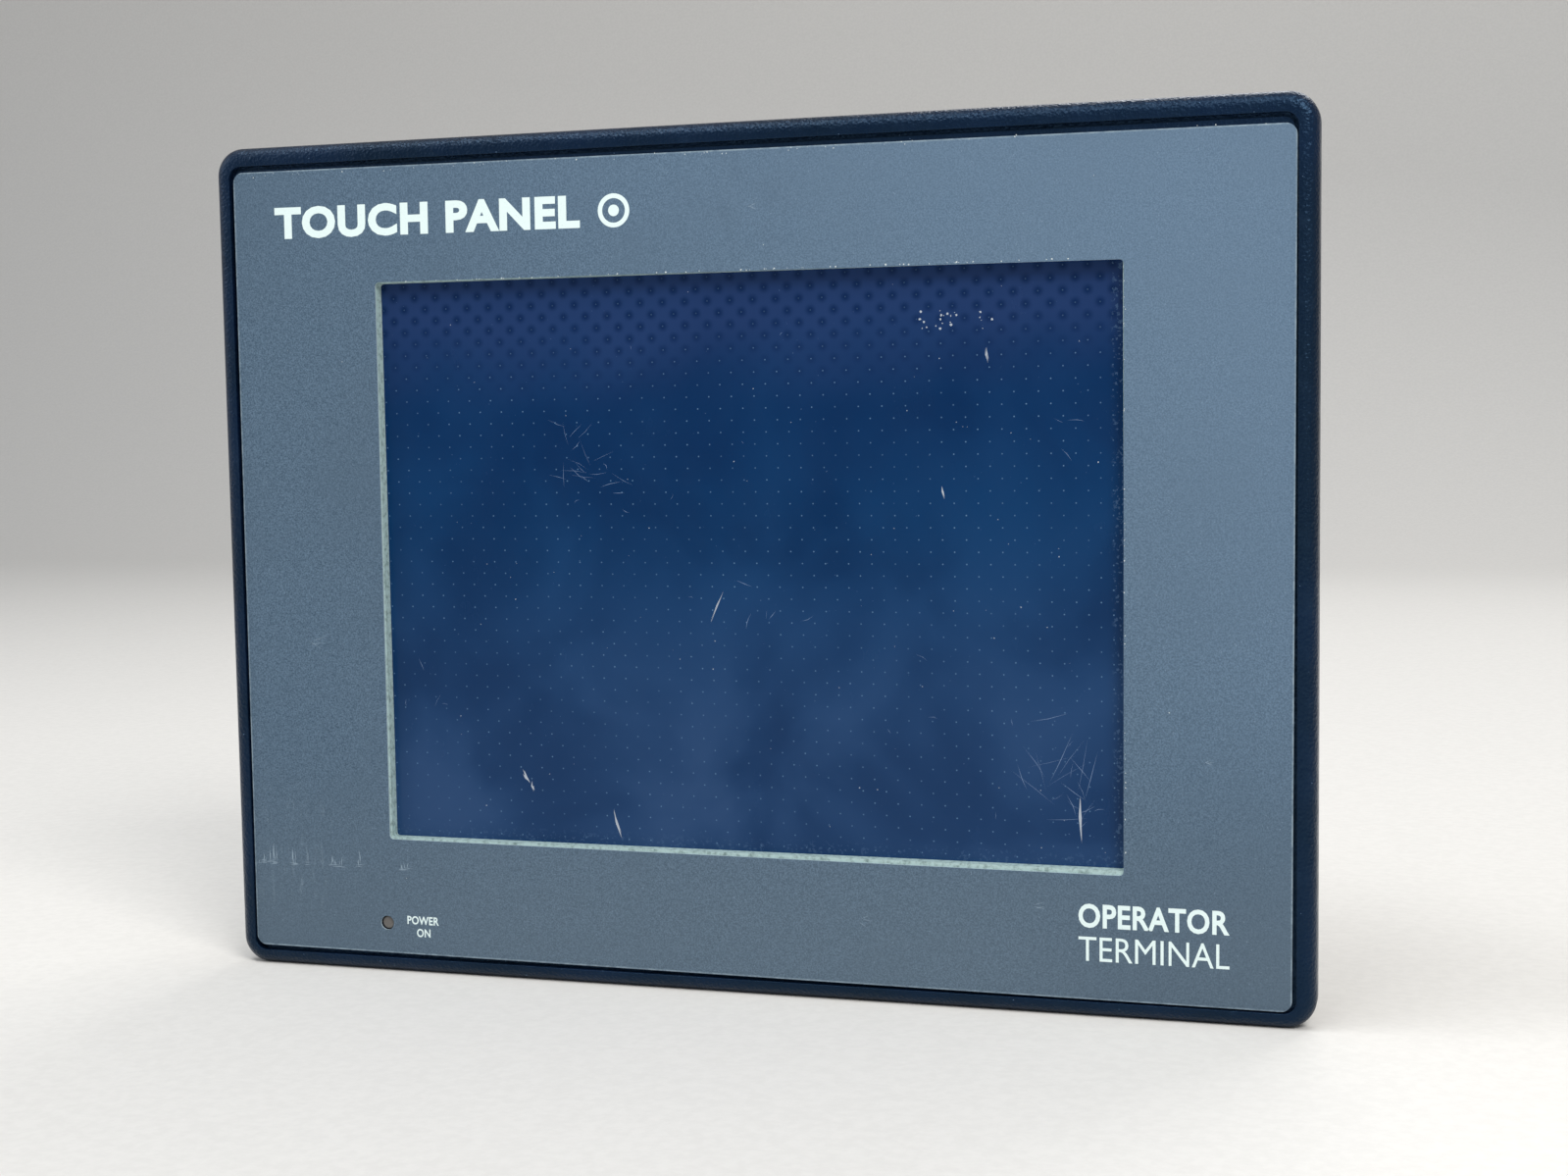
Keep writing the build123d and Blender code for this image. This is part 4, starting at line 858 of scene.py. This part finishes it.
def label_rules(ink):
    """The rating label's ruled lines and its row of upright bars."""
    rules = bmesh.new()
    right = LABEL_HIGH.x - LABEL_MARGIN * MM
    for drop in LABEL_RULES:
        base = LABEL_HIGH.z - drop * MM
        bar(rules, LABEL_LOW.x + LABEL_MARGIN * MM, right, base, base + 0.25 * MM, LABEL_HIGH.y)
    rng = random.Random(SEED + 4)
    bars_foot = LABEL_LOW.z + 5 * MM
    bars_top = LABEL_LOW.z + 11.5 * MM
    bars_end = LABEL_HIGH.x - 10 * MM
    x = LABEL_LOW.x + 8 * MM
    while x < bars_end:
        width = rng.choice((0.4, 0.8, 1.2)) * MM
        bar(rules, x, x + width, bars_foot, bars_top, LABEL_HIGH.y)
        x += width + rng.choice((0.5, 0.9)) * MM
    keep("label_rules", mesh_from(rules, "label_rules"), "root", ink)


def bar(bm, x0, x1, z0, z1, y):
    """A thin closed strip of ink on a face that looks to the back."""
    corners = [(x0, z0), (x1, z0), (x1, z1), (x0, z1)]
    back, front = [[bm.verts.new((x, y + lift, z)) for x, z in corners] for lift in (PRINT_T, -PRINT_T)]
    bm.faces.new(back)
    bm.faces.new(front[::-1])
    bridge(bm, front, back)


# Stage

def sweep(finish):
    """Pale floor that curves up into a backdrop."""
    bm = bmesh.new()
    front = -3.0
    back = 1.6
    radius = 0.8
    top = 4.0
    half_width = 4.0
    profile = [(front, 0.0), (back, 0.0)]
    profile += [(back + radius * math.sin(a), radius * (1 - math.cos(a)))
                for a in (math.radians(4 * i) for i in range(1, 23))]
    profile.append((back + radius, top))
    rows = [[bm.verts.new((x, y, FLOOR_Z + z)) for y, z in profile] for x in (-half_width, half_width)]
    for i in range(len(profile) - 1):
        bm.faces.new((rows[0][i], rows[1][i], rows[1][i + 1], rows[0][i + 1]))
    mesh = mesh_from(bm, "studio_sweep")
    mesh.materials.append(finish)
    for face in mesh.polygons:
        face.use_smooth = True
    floor = bpy.data.objects.new("studio_sweep", mesh)
    bpy.context.scene.collection.objects.link(floor)


def floor_material():
    """Matt warm grey with a faint grain."""
    shade = Shade("studio_floor", Specular_IOR_Level=0.25)
    grain = shade.noise(3 * MM, 4.0, 0.6)
    tone = shade.mix(shade.step(grain, 0.3, 0.7), srgb(222, 219, 214), srgb(227, 224, 219))
    shade.bump(grain, 0.05 * MM)
    return shade.finish(tone, 0.75)


def area_light(name, at, aim, size, power, tint):
    """A rectangular lamp at a place, turned to face another."""
    light = bpy.data.lights.new(name, "AREA")
    light.shape = "RECTANGLE"
    light.size, light.size_y = size
    light.energy = power
    light.color = tint
    holder = bpy.data.objects.new(name, light)
    holder.location = at
    holder.rotation_euler = (Vector(aim) - Vector(at)).to_track_quat("-Z", "Y").to_euler()
    bpy.context.scene.collection.objects.link(holder)


def studio():
    """Soft key light from the upper right, a strip overhead, weak fill and back lights, pale surround."""
    area_light("key_light", (0.75, -0.85, 1.0), (0, 0, 0), (0.6, 0.6), 14.5, (1.0, 0.985, 0.96))
    area_light("top_light", (-0.4, -0.45, 1.5), (0, 0, 0), (1.3, 0.35), 9.5, (0.95, 0.98, 1.0))
    area_light("fill_light", (-1.7, -0.7, 0.9), (0, 0, 0), (1.2, 1.2), 7, (0.93, 0.96, 1.0))
    area_light("back_light", (0.3, 1.3, 1.3), (0, 0, 0), (1.2, 0.8), 12, (1.0, 1.0, 1.0))
    world = bpy.data.worlds.new("pale_surround")
    world.use_nodes = True
    world.node_tree.nodes["Background"].inputs["Color"].default_value = (0.86, 0.90, 0.96, 1.0)
    world.node_tree.nodes["Background"].inputs["Strength"].default_value = 0.48
    bpy.context.scene.world = world
    bpy.context.scene.view_settings.view_transform = "Standard"


def camera():
    """The camera stands at the right of the panel, a little above its middle."""
    lens = bpy.data.cameras.new("camera")
    lens.lens = LENS_MM
    lens.sensor_width = 36
    lens.clip_start = 0.01
    holder = bpy.data.objects.new("camera", lens)
    look = (CAMERA_AIM - CAMERA_AT).to_track_quat("-Z", "Y").to_matrix().to_4x4()
    holder.matrix_world = Matrix.Translation(CAMERA_AT) @ look @ Matrix.Rotation(-CAMERA_ROLL, 4, "Z")
    bpy.context.scene.collection.objects.link(holder)
    bpy.context.scene.camera = holder


# The scene

FINISHES = build_materials()
WHITE_INK = print_material("white_ink", srgb(224, 240, 238), srgb(176, 192, 196))
DARK_INK = print_material("dark_ink", srgb(40, 42, 46), srgb(90, 92, 96))
SCRATCH = print_material("scratch_pale", srgb(116, 138, 170), srgb(58, 88, 130))
SCUFF = print_material("scuff_pale", srgb(138, 156, 170), srgb(98, 118, 136))
CHIP = print_material("chip_pale", srgb(198, 206, 206), srgb(144, 150, 148))
GOUGE = print_material("gouge_pale", srgb(168, 176, 186), srgb(104, 120, 142))
dress_frame(FINISHES)
front_print(WHITE_INK)
back_print(WHITE_INK, DARK_INK)
screen_scratches(SCRATCH)
screen_chips(GOUGE)
overlay_chips(CHIP)
overlay_scuffs(SCUFF)
sweep(floor_material())
studio()
camera()
